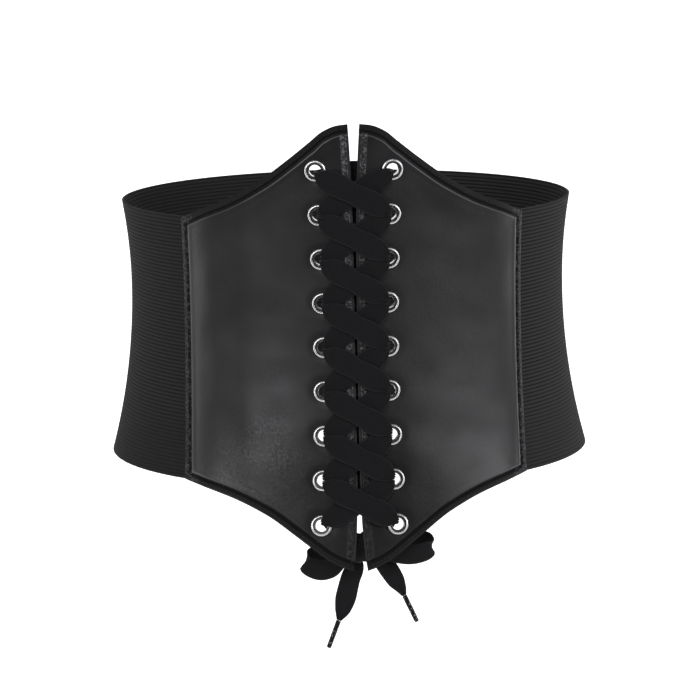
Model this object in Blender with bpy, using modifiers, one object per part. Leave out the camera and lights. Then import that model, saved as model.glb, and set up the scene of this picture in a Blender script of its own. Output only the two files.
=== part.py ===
"""Corset belt: two leather front panels joined by a flat lace, elastic sides and back, a plain back tab.

The belt keeps the form it has on a waist. It is open all the way down the middle.
Front is -Y, up is +Z. The origin is on the axis of the waist, at half the height of the elastic.
"""
import math

import bmesh
import bpy
import numpy as np
from mathutils import Matrix, Vector

MM = 0.001

# Body inside the belt: half width and half depth of its oval at three heights
WAIST_HALF_WIDTH = 106.4 * MM
WAIST_HALF_DEPTH = 97.0 * MM
TOP_HALF_WIDTH = 110.2 * MM
TOP_HALF_DEPTH = 98.0 * MM
BOTTOM_HALF_WIDTH = 118.1 * MM
BOTTOM_HALF_DEPTH = 104.0 * MM
WAIST_HEIGHT = 21.0 * MM

# Elastic sides and back
ELASTIC_HEIGHT = 126.6 * MM
ELASTIC_WALL = 1.2 * MM
ELASTIC_LAP = 9.0 * MM
ELASTIC_COLUMNS = 18
ELASTIC_ROWS = 6

# Leather front panels
PANEL_WIDTH = 86.5 * MM
PANEL_WALL = 2.0 * MM
TIP_RISE = 46.5 * MM
TIP_DROP = 38.8 * MM
BORDER = 3.6 * MM
GROOVE_DEPTH = 0.5 * MM
GROOVE_SIDE = 1.6 * MM
PANEL_ROWS = 6
SLIT_WIDTH = 1.0 * MM
TOP_SLIT_WIDTH = 5.4 * MM
TOP_SLIT_CURVE = 3.6
BOTTOM_SLIT_WIDTH = 6.7 * MM
BOTTOM_SLIT_CURVE = 6.2

# Upper and lower edge of a panel: share of its width, share of the rise, share of the drop
PANEL_OUTLINE = (
    (0.00, 1.000, 1.000),
    (0.06, 0.987, 0.958),
    (0.14, 0.929, 0.878),
    (0.22, 0.815, 0.765),
    (0.33, 0.656, 0.594),
    (0.50, 0.430, 0.349),
    (0.69, 0.236, 0.173),
    (0.86, 0.110, 0.070),
    (1.00, 0.000, 0.000),
)

# Eyelets, one column of them in each panel
EYELET_ROWS = 9
EYELET_TOP_MARGIN = 21.8 * MM
EYELET_BOTTOM_MARGIN = 21.3 * MM
EYELET_INSET = 15.0 * MM
EYELET_FLARE = 2.8 * MM
EYELET_RADIUS = 5.05 * MM
EYELET_HOLE_RADIUS = 2.9 * MM
EYELET_BACK_RADIUS = 4.5 * MM
EYELET_METAL = 0.6 * MM
EYELET_CREST = 0.95 * MM
EYELET_SIDES = 12

# Flat lace
LACE_WIDTH = 10.0 * MM
LACE_THICKNESS = 0.8 * MM
LACE_LAYER_GAP = 0.5 * MM
BUNCH_WIDTH = 1.9 * MM
BUNCH_THICKNESS = 1.7 * MM
BUNCH_OFFSET = 1.25 * MM
BUNCH_INSET = 0.5 * MM

# Knot and lace ends behind the lower tips
KNOT_WIDTH = 11.0 * MM
KNOT_HEIGHT = 14.5 * MM
KNOT_DEPTH = 6.4 * MM
KNOT_SHIFT = 0.7 * MM
KNOT_ABOVE_TIP = 10.0 * MM
BOW_REACH = 26.0 * MM
AGLET_RADIUS = 1.2 * MM
AGLET_LENGTH = 14.0 * MM
AGLET_SIDES = 10

# Plain tab over the meeting ends of the elastic at the back
TAB_WIDTH = 32.0 * MM
TAB_WALL = 1.6 * MM
END_GAP = 1.0 * MM

# Gap kept between neighbours
GAP = 0.3 * MM

# Levels and places that follow from the sizes above
ELASTIC_TOP = ELASTIC_HEIGHT / 2
ELASTIC_BOTTOM = -ELASTIC_HEIGHT / 2
TIP_TOP = ELASTIC_TOP + TIP_RISE
TIP_BOTTOM = ELASTIC_BOTTOM - TIP_DROP
FIELD_LIFT = GROOVE_DEPTH
LAP_LIFT = ELASTIC_WALL + GAP
PANEL_FACE = FIELD_LIFT + PANEL_WALL
ROW_PITCH = (TIP_TOP - TIP_BOTTOM - EYELET_TOP_MARGIN - EYELET_BOTTOM_MARGIN) / (EYELET_ROWS - 1)
LACE_HALF = LACE_THICKNESS / 2
BACK_LAYER = LACE_THICKNESS + GAP

# Samples of the oval, once round
ROUND_ANGLES = np.linspace(0.0, 2.0 * math.pi, 721)
PROBE = 0.5 * MM


def clear_scene():
    """Start from an empty scene."""
    for obj in list(bpy.data.objects):
        bpy.data.objects.remove(obj)


def make_collection(name):
    """A collection of this name, linked to the scene."""
    collection = bpy.data.collections.new(name)
    bpy.context.scene.collection.children.link(collection)
    return collection


def make_material(name, colour, roughness, metallic=0.0):
    """A Principled BSDF material with one colour."""
    material = bpy.data.materials.new(name)
    material.use_nodes = True
    shader = material.node_tree.nodes["Principled BSDF"]
    shader.inputs["Base Color"].default_value = (*colour, 1.0)
    shader.inputs["Roughness"].default_value = roughness
    shader.inputs["Metallic"].default_value = metallic
    material.diffuse_color = (*colour, 1.0)
    return material


def add_object(name, bm, collection, material, smooth=True):
    """Turn a bmesh into an object of this collection."""
    mesh = bpy.data.meshes.new(name)
    bm.to_mesh(mesh)
    bm.free()
    if smooth:
        mesh.shade_smooth()
        mesh.set_sharp_from_angle(angle=math.radians(40.0))
    obj = bpy.data.objects.new(name, mesh)
    collection.objects.link(obj)
    if material is not None:
        mesh.materials.append(material)
    return obj


def oval(height):
    """Half width and half depth of the body at a height."""
    if height >= WAIST_HEIGHT:
        share = (height - WAIST_HEIGHT) / (ELASTIC_TOP - WAIST_HEIGHT)
        wider = TOP_HALF_WIDTH - WAIST_HALF_WIDTH
        deeper = TOP_HALF_DEPTH - WAIST_HALF_DEPTH
    else:
        share = (WAIST_HEIGHT - height) / (WAIST_HEIGHT - ELASTIC_BOTTOM)
        wider = BOTTOM_HALF_WIDTH - WAIST_HALF_WIDTH
        deeper = BOTTOM_HALF_DEPTH - WAIST_HALF_DEPTH
    return WAIST_HALF_WIDTH + wider * share ** 2, WAIST_HALF_DEPTH + deeper * share ** 2


def round_lengths(height):
    """Length along the oval from the centre front to each sample angle."""
    half_width, half_depth = oval(height)
    steps = np.hypot(np.diff(half_width * np.sin(ROUND_ANGLES)), np.diff(half_depth * np.cos(ROUND_ANGLES)))
    return np.concatenate(([0.0], np.cumsum(steps)))


def half_round(height):
    """Length from the centre front to the centre back."""
    return round_lengths(height)[-1] / 2


def body_point(arc, height):
    """Point on the body, an arc length away from the centre front."""
    half_width, half_depth = oval(height)
    angle = math.copysign(np.interp(abs(arc), round_lengths(height), ROUND_ANGLES), arc)
    return Vector((half_width * math.sin(angle), -half_depth * math.cos(angle), height))


def body_normal(arc, height):
    """Outward direction of the body there."""
    along = body_point(arc + PROBE, height) - body_point(arc - PROBE, height)
    upward = body_point(arc, height + PROBE) - body_point(arc, height - PROBE)
    return along.cross(upward).normalized()


def wrap(arc, height, lift):
    """Place a point of the flat pattern on the body, raised by a lift."""
    return body_point(arc, height) + body_normal(arc, height) * lift


def slit_half(height):
    """Half of the slit between the panels at a height."""
    end_width, curve, reach = TOP_SLIT_WIDTH, TOP_SLIT_CURVE, TIP_TOP
    if height < 0.0:
        end_width, curve, reach = BOTTOM_SLIT_WIDTH, BOTTOM_SLIT_CURVE, -TIP_BOTTOM
    share = min(abs(height) / reach, 1.0) ** curve
    return (SLIT_WIDTH + (end_width - SLIT_WIDTH) * share) / 2


def panel_edges(share):
    """Lower and upper height of a panel at a share of its width."""
    shares, rises, drops = zip(*PANEL_OUTLINE)
    upper = ELASTIC_TOP + TIP_RISE * float(np.interp(share, shares, rises))
    lower = ELASTIC_BOTTOM - TIP_DROP * float(np.interp(share, shares, drops))
    return lower, upper


def panel_arc(share, height):
    """Arc length of a panel's point at a share of its width."""
    start = slit_half(height)
    return start + (PANEL_WIDTH - start) * share


def panel_columns():
    """Columns from the slit to the side seam: share of the width, lift, whether it is a stitched groove."""
    border = BORDER / PANEL_WIDTH
    field = border + GROOVE_SIDE / PANEL_WIDTH
    lap = 1.0 - (ELASTIC_LAP + GROOVE_SIDE) / PANEL_WIDTH
    raised = LAP_LIFT + GROOVE_DEPTH
    columns = [(0.0, FIELD_LIFT, False), (border, FIELD_LIFT, True), (field, FIELD_LIFT, False)]
    inner = [row[0] for row in PANEL_OUTLINE if field + border < row[0] < lap - border]
    columns += [(share, FIELD_LIFT, False) for share in inner]
    columns += [(lap, raised, False), (1.0 - field, raised, False)]
    columns += [(1.0 - border, raised, True), (1.0, raised, False)]
    return columns


def panel_rows(share):
    """Rows of a panel from its lower edge to its upper edge: height, whether it is a stitched groove."""
    lower, upper = panel_edges(share)
    low_field = lower + BORDER + GROOVE_SIDE
    high_field = upper - BORDER - GROOVE_SIDE
    rows = [(lower, False), (lower + BORDER, True)]
    for index in range(PANEL_ROWS + 1):
        rows.append((low_field + (high_field - low_field) * index / PANEL_ROWS, False))
    rows += [(upper - BORDER, True), (upper, False)]
    return rows


def sheet_mesh(side, columns, rows, place):
    """A grid whose vertices are put on the body by place(column, row), facing outwards."""
    bm = bmesh.new()
    bmesh.ops.create_grid(bm, x_segments=columns, y_segments=rows, size=0.5)
    for vertex in bm.verts:
        column = round((vertex.co.x + 0.5) * columns)
        row = round((vertex.co.y + 0.5) * rows)
        vertex.co = place(column, row)
    if side < 0:
        bmesh.ops.reverse_faces(bm, faces=bm.faces)
    return bm


def add_wall(obj, wall):
    """Give a sheet its thickness, outwards from the face that lies on the body."""
    solidify = obj.modifiers.new("wall", "SOLIDIFY")
    solidify.thickness = wall
    solidify.offset = 1.0
    solidify.use_even_offset = True


def eyelet_place(side, row):
    """Arc length and height of an eyelet's centre."""
    height = TIP_TOP - EYELET_TOP_MARGIN - ROW_PITCH * row
    middle = (EYELET_ROWS - 1) / 2
    arc = EYELET_INSET + EYELET_FLARE * ((row - middle) / middle) ** 2
    return side * arc, height


def frame_at(arc, height, lift):
    """Matrix whose Z axis leaves the body at this place."""
    turn = body_normal(arc, height).to_track_quat("Z", "Y")
    return Matrix.Translation(wrap(arc, height, lift)) @ turn.to_matrix().to_4x4()


def hole_cutter(name, side, collection):
    """Nine drills for the eyelets of one panel."""
    bm = bmesh.new()
    radius = EYELET_HOLE_RADIUS + EYELET_METAL + GAP
    for row in range(EYELET_ROWS):
        bmesh.ops.create_cone(
            bm, cap_ends=True, segments=EYELET_SIDES, radius1=radius, radius2=radius,
            depth=PANEL_WALL * 4, matrix=frame_at(*eyelet_place(side, row), FIELD_LIFT + PANEL_WALL / 2))
    cutter = add_object(name, bm, collection, None, smooth=False)
    cutter.hide_render = True
    cutter.display_type = "WIRE"
    return cutter


def make_panel(name, side, collection, cutters, material):
    """One leather front panel with its pressed stitch lines and eyelet holes."""
    columns = panel_columns()

    def place(column, row):
        share, lift, seam_groove = columns[column]
        height, edge_groove = panel_rows(share)[row]
        pressed = GROOVE_DEPTH if seam_groove or edge_groove else 0.0
        return wrap(side * panel_arc(share, height), height, lift - pressed)

    bm = sheet_mesh(side, len(columns) - 1, len(panel_rows(0.0)) - 1, place)
    panel = add_object(name, bm, collection, material)
    add_wall(panel, PANEL_WALL)
    cut = panel.modifiers.new("eyelet holes", "BOOLEAN")
    cut.operation = "DIFFERENCE"
    cut.object = hole_cutter(name + "_holes", side, cutters)
    return panel


def make_elastic(name, side, collection, material):
    """One elastic side, from under the panel's seam to the centre back."""
    start = PANEL_WIDTH - ELASTIC_LAP

    def place(column, row):
        height = ELASTIC_BOTTOM + ELASTIC_HEIGHT * row / ELASTIC_ROWS
        end = half_round(height) - END_GAP / 2
        return wrap(side * (start + (end - start) * column / ELASTIC_COLUMNS), height, 0.0)

    elastic = add_object(name, sheet_mesh(side, ELASTIC_COLUMNS, ELASTIC_ROWS, place), collection, material)
    add_wall(elastic, ELASTIC_WALL)
    return elastic


def make_tab(name, collection, material):
    """The plain tab that holds the two elastic ends together at the back."""
    columns = 4

    def place(column, row):
        height = ELASTIC_BOTTOM + ELASTIC_HEIGHT * row / ELASTIC_ROWS
        across = TAB_WIDTH * (column / columns - 0.5)
        return wrap(half_round(height) + across, height, LAP_LIFT + GAP)

    tab = add_object(name, sheet_mesh(1, columns, ELASTIC_ROWS, place), collection, material)
    add_wall(tab, TAB_WALL)
    return tab


def eyelet_profile():
    """Half section of an eyelet round its axis: down the outer side, up inside the hole."""
    back = -PANEL_WALL - GAP
    barrel = EYELET_HOLE_RADIUS + EYELET_METAL
    return (
        (EYELET_HOLE_RADIUS, EYELET_CREST * 0.8 + GAP),
        ((EYELET_HOLE_RADIUS + EYELET_RADIUS) / 2, EYELET_CREST + GAP),
        (EYELET_RADIUS, EYELET_METAL / 2 + GAP),
        (EYELET_RADIUS, GAP),
        (barrel, GAP),
        (barrel, back),
        (EYELET_BACK_RADIUS, back),
        ((barrel + EYELET_BACK_RADIUS) / 2, back - EYELET_METAL * 1.3),
        (EYELET_HOLE_RADIUS, back - EYELET_METAL * 0.6),
    )


def eyelet_mesh(material):
    """Closed profile that a Screw modifier turns into an eyelet."""
    bm = bmesh.new()
    points = [bm.verts.new((radius, 0.0, height)) for radius, height in eyelet_profile()]
    for first, second in zip(points, points[1:] + points[:1]):
        bm.edges.new((first, second))
    mesh = bpy.data.meshes.new("eyelet")
    bm.to_mesh(mesh)
    bm.free()
    mesh.materials.append(material)
    return mesh


def make_eyelet(name, mesh, side, row, collection):
    """One eyelet seated in its hole."""
    eyelet = bpy.data.objects.new(name, mesh)
    eyelet.matrix_world = frame_at(*eyelet_place(side, row), PANEL_FACE)
    screw = eyelet.modifiers.new("turned", "SCREW")
    screw.axis = "Z"
    screw.steps = EYELET_SIDES
    screw.render_steps = EYELET_SIDES
    screw.use_merge_vertices = True
    screw.merge_threshold = 0.01 * MM
    collection.objects.link(eyelet)
    return eyelet


def ribbon_mesh(stations, place):
    """Loft a flat ribbon through stations of (centre, width, thickness, up), put in place by place()."""
    bm = bmesh.new()
    rings = []
    for index, (centre, width, thickness, up) in enumerate(stations):
        before = stations[max(index - 1, 0)][0]
        after = stations[min(index + 1, len(stations) - 1)][0]
        travel = (after - before).normalized()
        across = (up - travel * up.dot(travel)).normalized() * (width / 2)
        through = travel.cross(across).normalized() * (thickness / 2)
        corners = (across + through, across - through, -across - through, through - across)
        rings.append([bm.verts.new(place(centre + corner)) for corner in corners])
    for first, second in zip(rings, rings[1:]):
        for corner in range(4):
            following = (corner + 1) % 4
            bm.faces.new((first[corner], first[following], second[following], second[corner]))
    bm.faces.new(rings[0][::-1])
    bm.faces.new(rings[-1])
    bmesh.ops.recalc_face_normals(bm, faces=bm.faces)
    return bm


UP = Vector((0.0, 1.0, 0.0))


def span_ends(front, layer):
    """Stations from an eyelet hole to the middle of a span: distance, lift, width, thickness."""
    if front:
        crest = PANEL_FACE + GAP + EYELET_CREST + GAP + LACE_HALF
        low = PANEL_FACE + GAP * 3 + LACE_HALF
        middle = low + layer * (LACE_THICKNESS + LACE_LAYER_GAP)
        shoulder = (crest + middle) / 2 if layer else crest - GAP
        return (
            (0.0, crest - LACE_THICKNESS * 1.2, BUNCH_WIDTH * 1.1, BUNCH_THICKNESS * 0.9),
            (EYELET_RADIUS * 0.16, crest, LACE_WIDTH * 0.28, LACE_THICKNESS * 1.4),
            (EYELET_RADIUS * 0.46, crest + GAP, LACE_WIDTH * 0.50, LACE_THICKNESS * 1.1),
            (EYELET_RADIUS * 0.92, crest, LACE_WIDTH * 0.80, LACE_THICKNESS),
            (EYELET_RADIUS * 1.5, shoulder, LACE_WIDTH * 0.97, LACE_THICKNESS),
            (EYELET_RADIUS * 2.0, middle, LACE_WIDTH, LACE_THICKNESS),
        ), middle
    roll = PANEL_FACE - PANEL_WALL - GAP - EYELET_METAL * 1.3 - GAP - LACE_HALF
    depth = roll - layer * BACK_LAYER
    return (
        (0.0, depth + LACE_THICKNESS * 1.1, BUNCH_WIDTH, BUNCH_THICKNESS * 0.9),
        (EYELET_RADIUS * 0.14, depth, BUNCH_WIDTH * 1.05, LACE_THICKNESS * 1.3),
        (EYELET_RADIUS * 0.46, depth - GAP / 2, LACE_WIDTH * 0.28, LACE_THICKNESS),
        (EYELET_RADIUS * 1.1, depth, LACE_WIDTH * 0.6, LACE_THICKNESS),
        (EYELET_RADIUS * 1.9, depth, LACE_WIDTH * 0.95, LACE_THICKNESS),
    ), depth


def pattern_point(spot, lift):
    """Arc length, height and lift as one vector."""
    return Vector((spot.x, spot.y, lift))


def span_stations(start, end, front, layer):
    """Stations of one span between two eyelet holes, on the front or the back of the panels."""
    ends, middle = span_ends(front, layer)
    way = (end - start).normalized()
    stations = []
    for far, lift, width, thick in ends:
        stations.append((pattern_point(start + way * far, lift), width, thick, UP))
    stations.append((pattern_point((start + end) / 2, middle), LACE_WIDTH, LACE_THICKNESS, UP))
    for far, lift, width, thick in reversed(ends):
        stations.append((pattern_point(end - way * far, lift), width, thick, UP))
    return stations


def hole_spot(side, row, half):
    """Where the lace crosses an eyelet hole: its upper half is 1, its lower half -1."""
    arc, height = eyelet_place(side, row)
    return Vector((arc - side * BUNCH_INSET, height + half * BUNCH_OFFSET))


def hole_station(spot):
    """Bunched lace half way through the panel's wall."""
    return pattern_point(spot, PANEL_FACE - PANEL_WALL / 2), BUNCH_WIDTH, BUNCH_THICKNESS, UP


def knot_centre():
    """Centre of the knot, behind the lower tips of the panels."""
    height = TIP_BOTTOM + KNOT_ABOVE_TIP
    behind = GAP * 3 + KNOT_DEPTH / 2
    return Vector((KNOT_SHIFT, -oval(height)[1] + behind, height))


def lace_run(side, layer):
    """Stations of one half of the lace, from the top of one eyelet column down to the knot."""
    stations = [hole_station(hole_spot(side, 0, -1))]
    for row in range(EYELET_ROWS - 1):
        start = hole_spot(side, row, -1)
        end = hole_spot(-side, row + 1, 1)
        stations += span_stations(start, end, True, layer)
        stations.append(hole_station(end))
        if row < EYELET_ROWS - 2:
            back = hole_spot(side, row + 1, -1)
            stations += span_stations(end, back, False, layer)
            stations.append(hole_station(back))
    return stations + lead_in(-side)


def lead_in(side):
    """Stations from the lowest eyelet to the upper corner of the knot, behind the panel."""
    ends, depth = span_ends(False, 0)
    start = hole_spot(side, EYELET_ROWS - 1, 1)
    knot = knot_centre()
    end = Vector((knot.x + side * (KNOT_WIDTH / 2 + GAP * 4), knot.z + KNOT_HEIGHT * 0.2))
    way = (end - start).normalized()
    stations = []
    for far, lift, width, thick in ends[:3]:
        stations.append((pattern_point(start + way * far, lift), width, thick, UP))
    near = start.lerp(end, 0.62)
    stations.append((pattern_point(near, depth - GAP), LACE_WIDTH * 0.45, LACE_THICKNESS, UP))
    stations.append((pattern_point(end, depth - GAP * 2), LACE_WIDTH * 0.32, LACE_THICKNESS * 1.2, UP))
    return stations


def make_lace(name, collection, material):
    """The laced stretch in one piece: a bar behind the top row, then crosses down to the knot."""
    left_run = lace_run(-1, 1)
    right_run = lace_run(1, 0)
    top_bar = span_stations(hole_spot(1, 0, -1), hole_spot(-1, 0, -1), False, 0)
    stations = right_run[::-1] + top_bar + left_run
    bm = ribbon_mesh(stations, lambda spot: wrap(spot.x, spot.y, spot.z))
    return add_object(name, bm, collection, material)


def make_knot(name, collection, material):
    """The knot as one rounded lump."""
    bm = bmesh.new()
    size = Matrix.Diagonal((KNOT_WIDTH, KNOT_DEPTH, KNOT_HEIGHT, 1.0))
    bmesh.ops.create_cube(bm, size=1.0, matrix=Matrix.Translation(knot_centre()) @ size)
    knot = add_object(name, bm, collection, material)
    bevel = knot.modifiers.new("rounded", "BEVEL")
    bevel.width = KNOT_DEPTH * 0.35
    bevel.segments = 2
    return knot


# Routes of the lace ends: from the knot's side, round the loop of the bow, behind the knot, down the tail.
# Columns: distance out from the knot's side as a share of the bow's reach, distance behind the knot's middle
# as a share of its depth, height over its middle as a share of the bow's reach, share of the lace's width,
# and facing, which is 0 where the width stands upright and 1 where it lies across the tail
LEFT_ROUTE = (
    (0.062, 0.00, -0.092, 0.40, 0.0),
    (0.196, 0.04, -0.269, 0.70, 0.05),
    (0.385, 0.12, -0.400, 0.94, 0.12),
    (0.538, 0.26, -0.423, 1.00, 0.2),
    (0.708, 0.46, -0.377, 0.98, 0.3),
    (0.804, 0.74, -0.308, 0.90, 0.33),
    (0.746, 1.06, -0.246, 0.94, 0.33),
    (0.577, 1.23, -0.192, 0.98, 0.2),
    (0.385, 1.10, -0.138, 0.86, 0.1),
    (0.200, 0.84, -0.092, 0.60, 0.0),
    (0.062, 0.78, -0.092, 0.40, 0.3),
    (-0.062, 0.84, -0.223, 0.62, 0.8),
    (-0.085, 0.80, -0.392, 0.92, 1.0),
    (0.000, 0.68, -0.662, 0.96, 1.0),
    (0.073, 0.62, -0.946, 1.00, 1.0),
    (0.142, 0.59, -1.208, 0.76, 1.0),
    (0.215, 0.58, -1.400, 0.24, 1.0),
)
RIGHT_ROUTE = (
    (0.050, 0.00, -0.023, 0.45, 0.0),
    (0.212, 0.03, -0.069, 0.75, 0.0),
    (0.442, 0.14, -0.138, 0.94, 0.0),
    (0.712, 0.30, -0.177, 0.96, 0.0),
    (0.942, 0.50, -0.146, 0.94, 0.0),
    (1.085, 0.80, -0.058, 0.88, 0.0),
    (1.000, 1.14, 0.019, 0.94, 0.0),
    (0.731, 1.28, 0.046, 0.98, 0.0),
    (0.462, 1.12, 0.031, 0.84, 0.0),
    (0.192, 0.88, -0.015, 0.56, 0.0),
    (0.046, 0.78, -0.085, 0.40, 0.3),
    (0.069, 0.78, -0.192, 0.50, 0.7),
    (0.169, 0.72, -0.308, 0.80, 0.9),
    (0.296, 0.66, -0.469, 0.93, 1.0),
    (0.415, 0.62, -0.662, 0.86, 1.0),
    (0.515, 0.59, -0.831, 0.54, 1.0),
    (0.573, 0.58, -0.958, 0.24, 1.0),
)


def end_stations(side, route):
    """Ribbon stations of one lace end."""
    knot = knot_centre()
    upright = Vector((0.0, 0.0, 1.0))
    sideways = Vector((-side, 0.0, 0.0))
    stations = []
    for out, behind, up, width, facing in route:
        across = side * (KNOT_WIDTH / 2 + out * BOW_REACH)
        centre = knot + Vector((across, behind * KNOT_DEPTH, up * BOW_REACH))
        stations.append((centre, width * LACE_WIDTH, LACE_THICKNESS, upright.lerp(sideways, facing)))
    return stations


def make_lace_end(name, side, route, collection, material):
    """One loop of the bow with its hanging tail."""
    bm = ribbon_mesh(end_stations(side, route), lambda spot: spot)
    return add_object(name, bm, collection, material)


def make_aglet(name, side, route, collection, material):
    """The stiff tip on a lace end."""
    points = [station[0] for station in end_stations(side, route)[-2:]]
    way = (points[1] - points[0]).normalized()
    centre = points[1] + way * (AGLET_LENGTH / 2 + GAP)
    turn = way.to_track_quat("Z", "Y").to_matrix().to_4x4()
    bm = bmesh.new()
    bmesh.ops.create_cone(
        bm, cap_ends=True, segments=AGLET_SIDES, radius1=AGLET_RADIUS, radius2=AGLET_RADIUS,
        depth=AGLET_LENGTH, matrix=Matrix.Translation(centre) @ turn)
    return add_object(name, bm, collection, material)


def main():
    clear_scene()
    belt = make_collection("Corset belt")
    cutters = make_collection("Cutters")
    leather = make_material("leather", (0.028, 0.028, 0.031), 0.42)
    elastic = make_material("elastic", (0.022, 0.022, 0.025), 0.85)
    cord = make_material("lace", (0.008, 0.008, 0.010), 0.90)
    metal = make_material("eyelet_metal", (0.72, 0.71, 0.69), 0.22, metallic=1.0)
    tip = make_material("aglet", (0.020, 0.020, 0.022), 0.30)

    make_panel("left_panel", -1, belt, cutters, leather)
    make_panel("right_panel", 1, belt, cutters, leather)
    make_elastic("elastic_left", -1, belt, elastic)
    make_elastic("elastic_right", 1, belt, elastic)
    make_tab("back_closure", belt, leather)
    mesh = eyelet_mesh(metal)
    for row in range(EYELET_ROWS):
        make_eyelet(f"eyelet_left_{row + 1}", mesh, -1, row, belt)
        make_eyelet(f"eyelet_right_{row + 1}", mesh, 1, row, belt)
    make_lace("lace", belt, cord)
    make_knot("bow_knot", belt, cord)
    make_lace_end("lace_end_left", -1, LEFT_ROUTE, belt, cord)
    make_lace_end("lace_end_right", 1, RIGHT_ROUTE, belt, cord)
    make_aglet("aglet_left", -1, LEFT_ROUTE, belt, tip)
    make_aglet("aglet_right", 1, RIGHT_ROUTE, belt, tip)


main()
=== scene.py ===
# %% [markdown]
# # A laced corset belt, dressed round its frame
# The belt is made as a workshop would make it. Each piece is cut and finished flat, then it is laid round
# the waist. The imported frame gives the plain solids, and every visible piece here takes a solid's place.

# %% Load the frame
import math

import bmesh
import bpy
import numpy as np
from mathutils import Matrix, Vector, noise


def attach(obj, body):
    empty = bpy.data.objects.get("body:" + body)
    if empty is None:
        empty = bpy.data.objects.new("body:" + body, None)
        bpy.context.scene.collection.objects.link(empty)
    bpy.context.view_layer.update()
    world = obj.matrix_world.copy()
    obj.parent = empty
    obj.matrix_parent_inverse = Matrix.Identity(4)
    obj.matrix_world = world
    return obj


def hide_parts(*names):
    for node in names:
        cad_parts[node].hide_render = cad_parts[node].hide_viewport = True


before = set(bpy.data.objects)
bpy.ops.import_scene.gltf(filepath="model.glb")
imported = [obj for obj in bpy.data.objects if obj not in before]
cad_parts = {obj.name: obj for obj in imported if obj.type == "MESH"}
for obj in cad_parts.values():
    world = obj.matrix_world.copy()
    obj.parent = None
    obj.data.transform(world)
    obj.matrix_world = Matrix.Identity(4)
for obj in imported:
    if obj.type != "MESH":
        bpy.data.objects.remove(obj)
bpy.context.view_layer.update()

MM = 0.001


def add_object(name, data):
    """An object with this data, linked to the scene."""
    added = bpy.data.objects.new(name, data)
    bpy.context.scene.collection.objects.link(added)
    return added


# %% [markdown]
# ## Camera
# The photograph looks at the belt through a long lens, from a little above and a touch to its left. The
# distance is stated first, and the focal length follows from how many pixels a metre takes there.

# %% Place the camera
IMAGE_SIZE = 700
CAMERA_DISTANCE = 1.604
CAMERA_YAW = math.radians(2.23)
CAMERA_RISE = math.radians(9.69)
CAMERA_ROLL = math.radians(0.88)
FOCAL_PIXELS = 3193.0
CENTRE_PIXEL = (348.1, 315.0)
CENTRE_POINT = Vector((0.0, 0.0, 2.0 * MM))

away = Vector((
    -math.sin(CAMERA_YAW) * math.cos(CAMERA_RISE),
    -math.cos(CAMERA_YAW) * math.cos(CAMERA_RISE),
    math.sin(CAMERA_RISE)))
sideways = Vector((math.cos(CAMERA_YAW), -math.sin(CAMERA_YAW), 0.0))
upward = away.cross(sideways)
pixel = CAMERA_DISTANCE / FOCAL_PIXELS
aim = CENTRE_POINT + sideways * (IMAGE_SIZE / 2 - CENTRE_PIXEL[0]) * pixel
aim -= upward * (IMAGE_SIZE / 2 - CENTRE_PIXEL[1]) * pixel

camera_data = bpy.data.cameras.new("camera")
camera_data.lens = FOCAL_PIXELS / IMAGE_SIZE * camera_data.sensor_width
camera_data.clip_start = 0.05
camera = add_object("camera", camera_data)
camera.location = CENTRE_POINT + away * CAMERA_DISTANCE
look = (camera.location - aim).to_track_quat("Z", "Y").to_matrix()
camera.rotation_euler = (look @ Matrix.Rotation(-CAMERA_ROLL, 3, "Z")).to_euler()
bpy.context.scene.camera = camera
print("lens", round(camera_data.lens, 1), "mm")

# %% [markdown]
# ## The waist
# A waist is an oval that is narrowest a little above the middle of the belt and flares above and below
# it. Its half width and half depth are stated at three heights, and a square law joins them.

# %% Oval of the waist
ELASTIC_HEIGHT = 126.6 * MM
ELASTIC_TOP = ELASTIC_HEIGHT / 2
ELASTIC_BOTTOM = -ELASTIC_HEIGHT / 2
WAIST_HALF = (106.4 * MM, 97.0 * MM)
TOP_HALF = (110.2 * MM, 98.0 * MM)
BOTTOM_HALF = (118.1 * MM, 104.0 * MM)
WAIST_HEIGHT = 21.0 * MM
FULL_TURN = 2.0 * math.pi
ROUND_ANGLES = np.linspace(0.0, FULL_TURN, 721)


def oval(height):
    """Half width, its growth with height, half depth and its growth, at each height."""
    height = np.asarray(height, dtype=float)
    above = height >= WAIST_HEIGHT
    reach = np.where(above, ELASTIC_TOP, ELASTIC_BOTTOM) - WAIST_HEIGHT
    share = (height - WAIST_HEIGHT) / reach
    sizes = []
    for waist, top, bottom in zip(WAIST_HALF, TOP_HALF, BOTTOM_HALF):
        flare = np.where(above, top, bottom) - waist
        sizes += [waist + flare * share ** 2, 2.0 * flare * share / reach]
    return sizes


def lengths_along(points):
    """Length from the first point of a line to each of its points."""
    return np.concatenate(([0.0], np.cumsum(np.linalg.norm(np.diff(points, axis=0), axis=1))))


def round_lengths(height):
    """Length round the oval from the centre front to each sample angle."""
    wide, _, deep, _ = oval(height)
    steps = np.hypot(np.diff(wide * np.sin(ROUND_ANGLES)), np.diff(deep * np.cos(ROUND_ANGLES)))
    return np.concatenate(([0.0], np.cumsum(steps)))


print("waist", round(1000 * round_lengths(WAIST_HEIGHT)[-1]), "mm round")

# %% [markdown]
# ## Laying flat work round the waist
# A flat pattern has x as the length round the waist from the centre front, y as the height, and z as the
# lift off the body. Every piece is shaped while it is flat, where its edges and stitch lines are simple,
# and then one function carries all its points to their places.

# %% Lay a pattern round the waist
LEVELS = np.linspace(-0.16, 0.13, 117)
LEVEL_LENGTHS = [round_lengths(level) for level in LEVELS]


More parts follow.
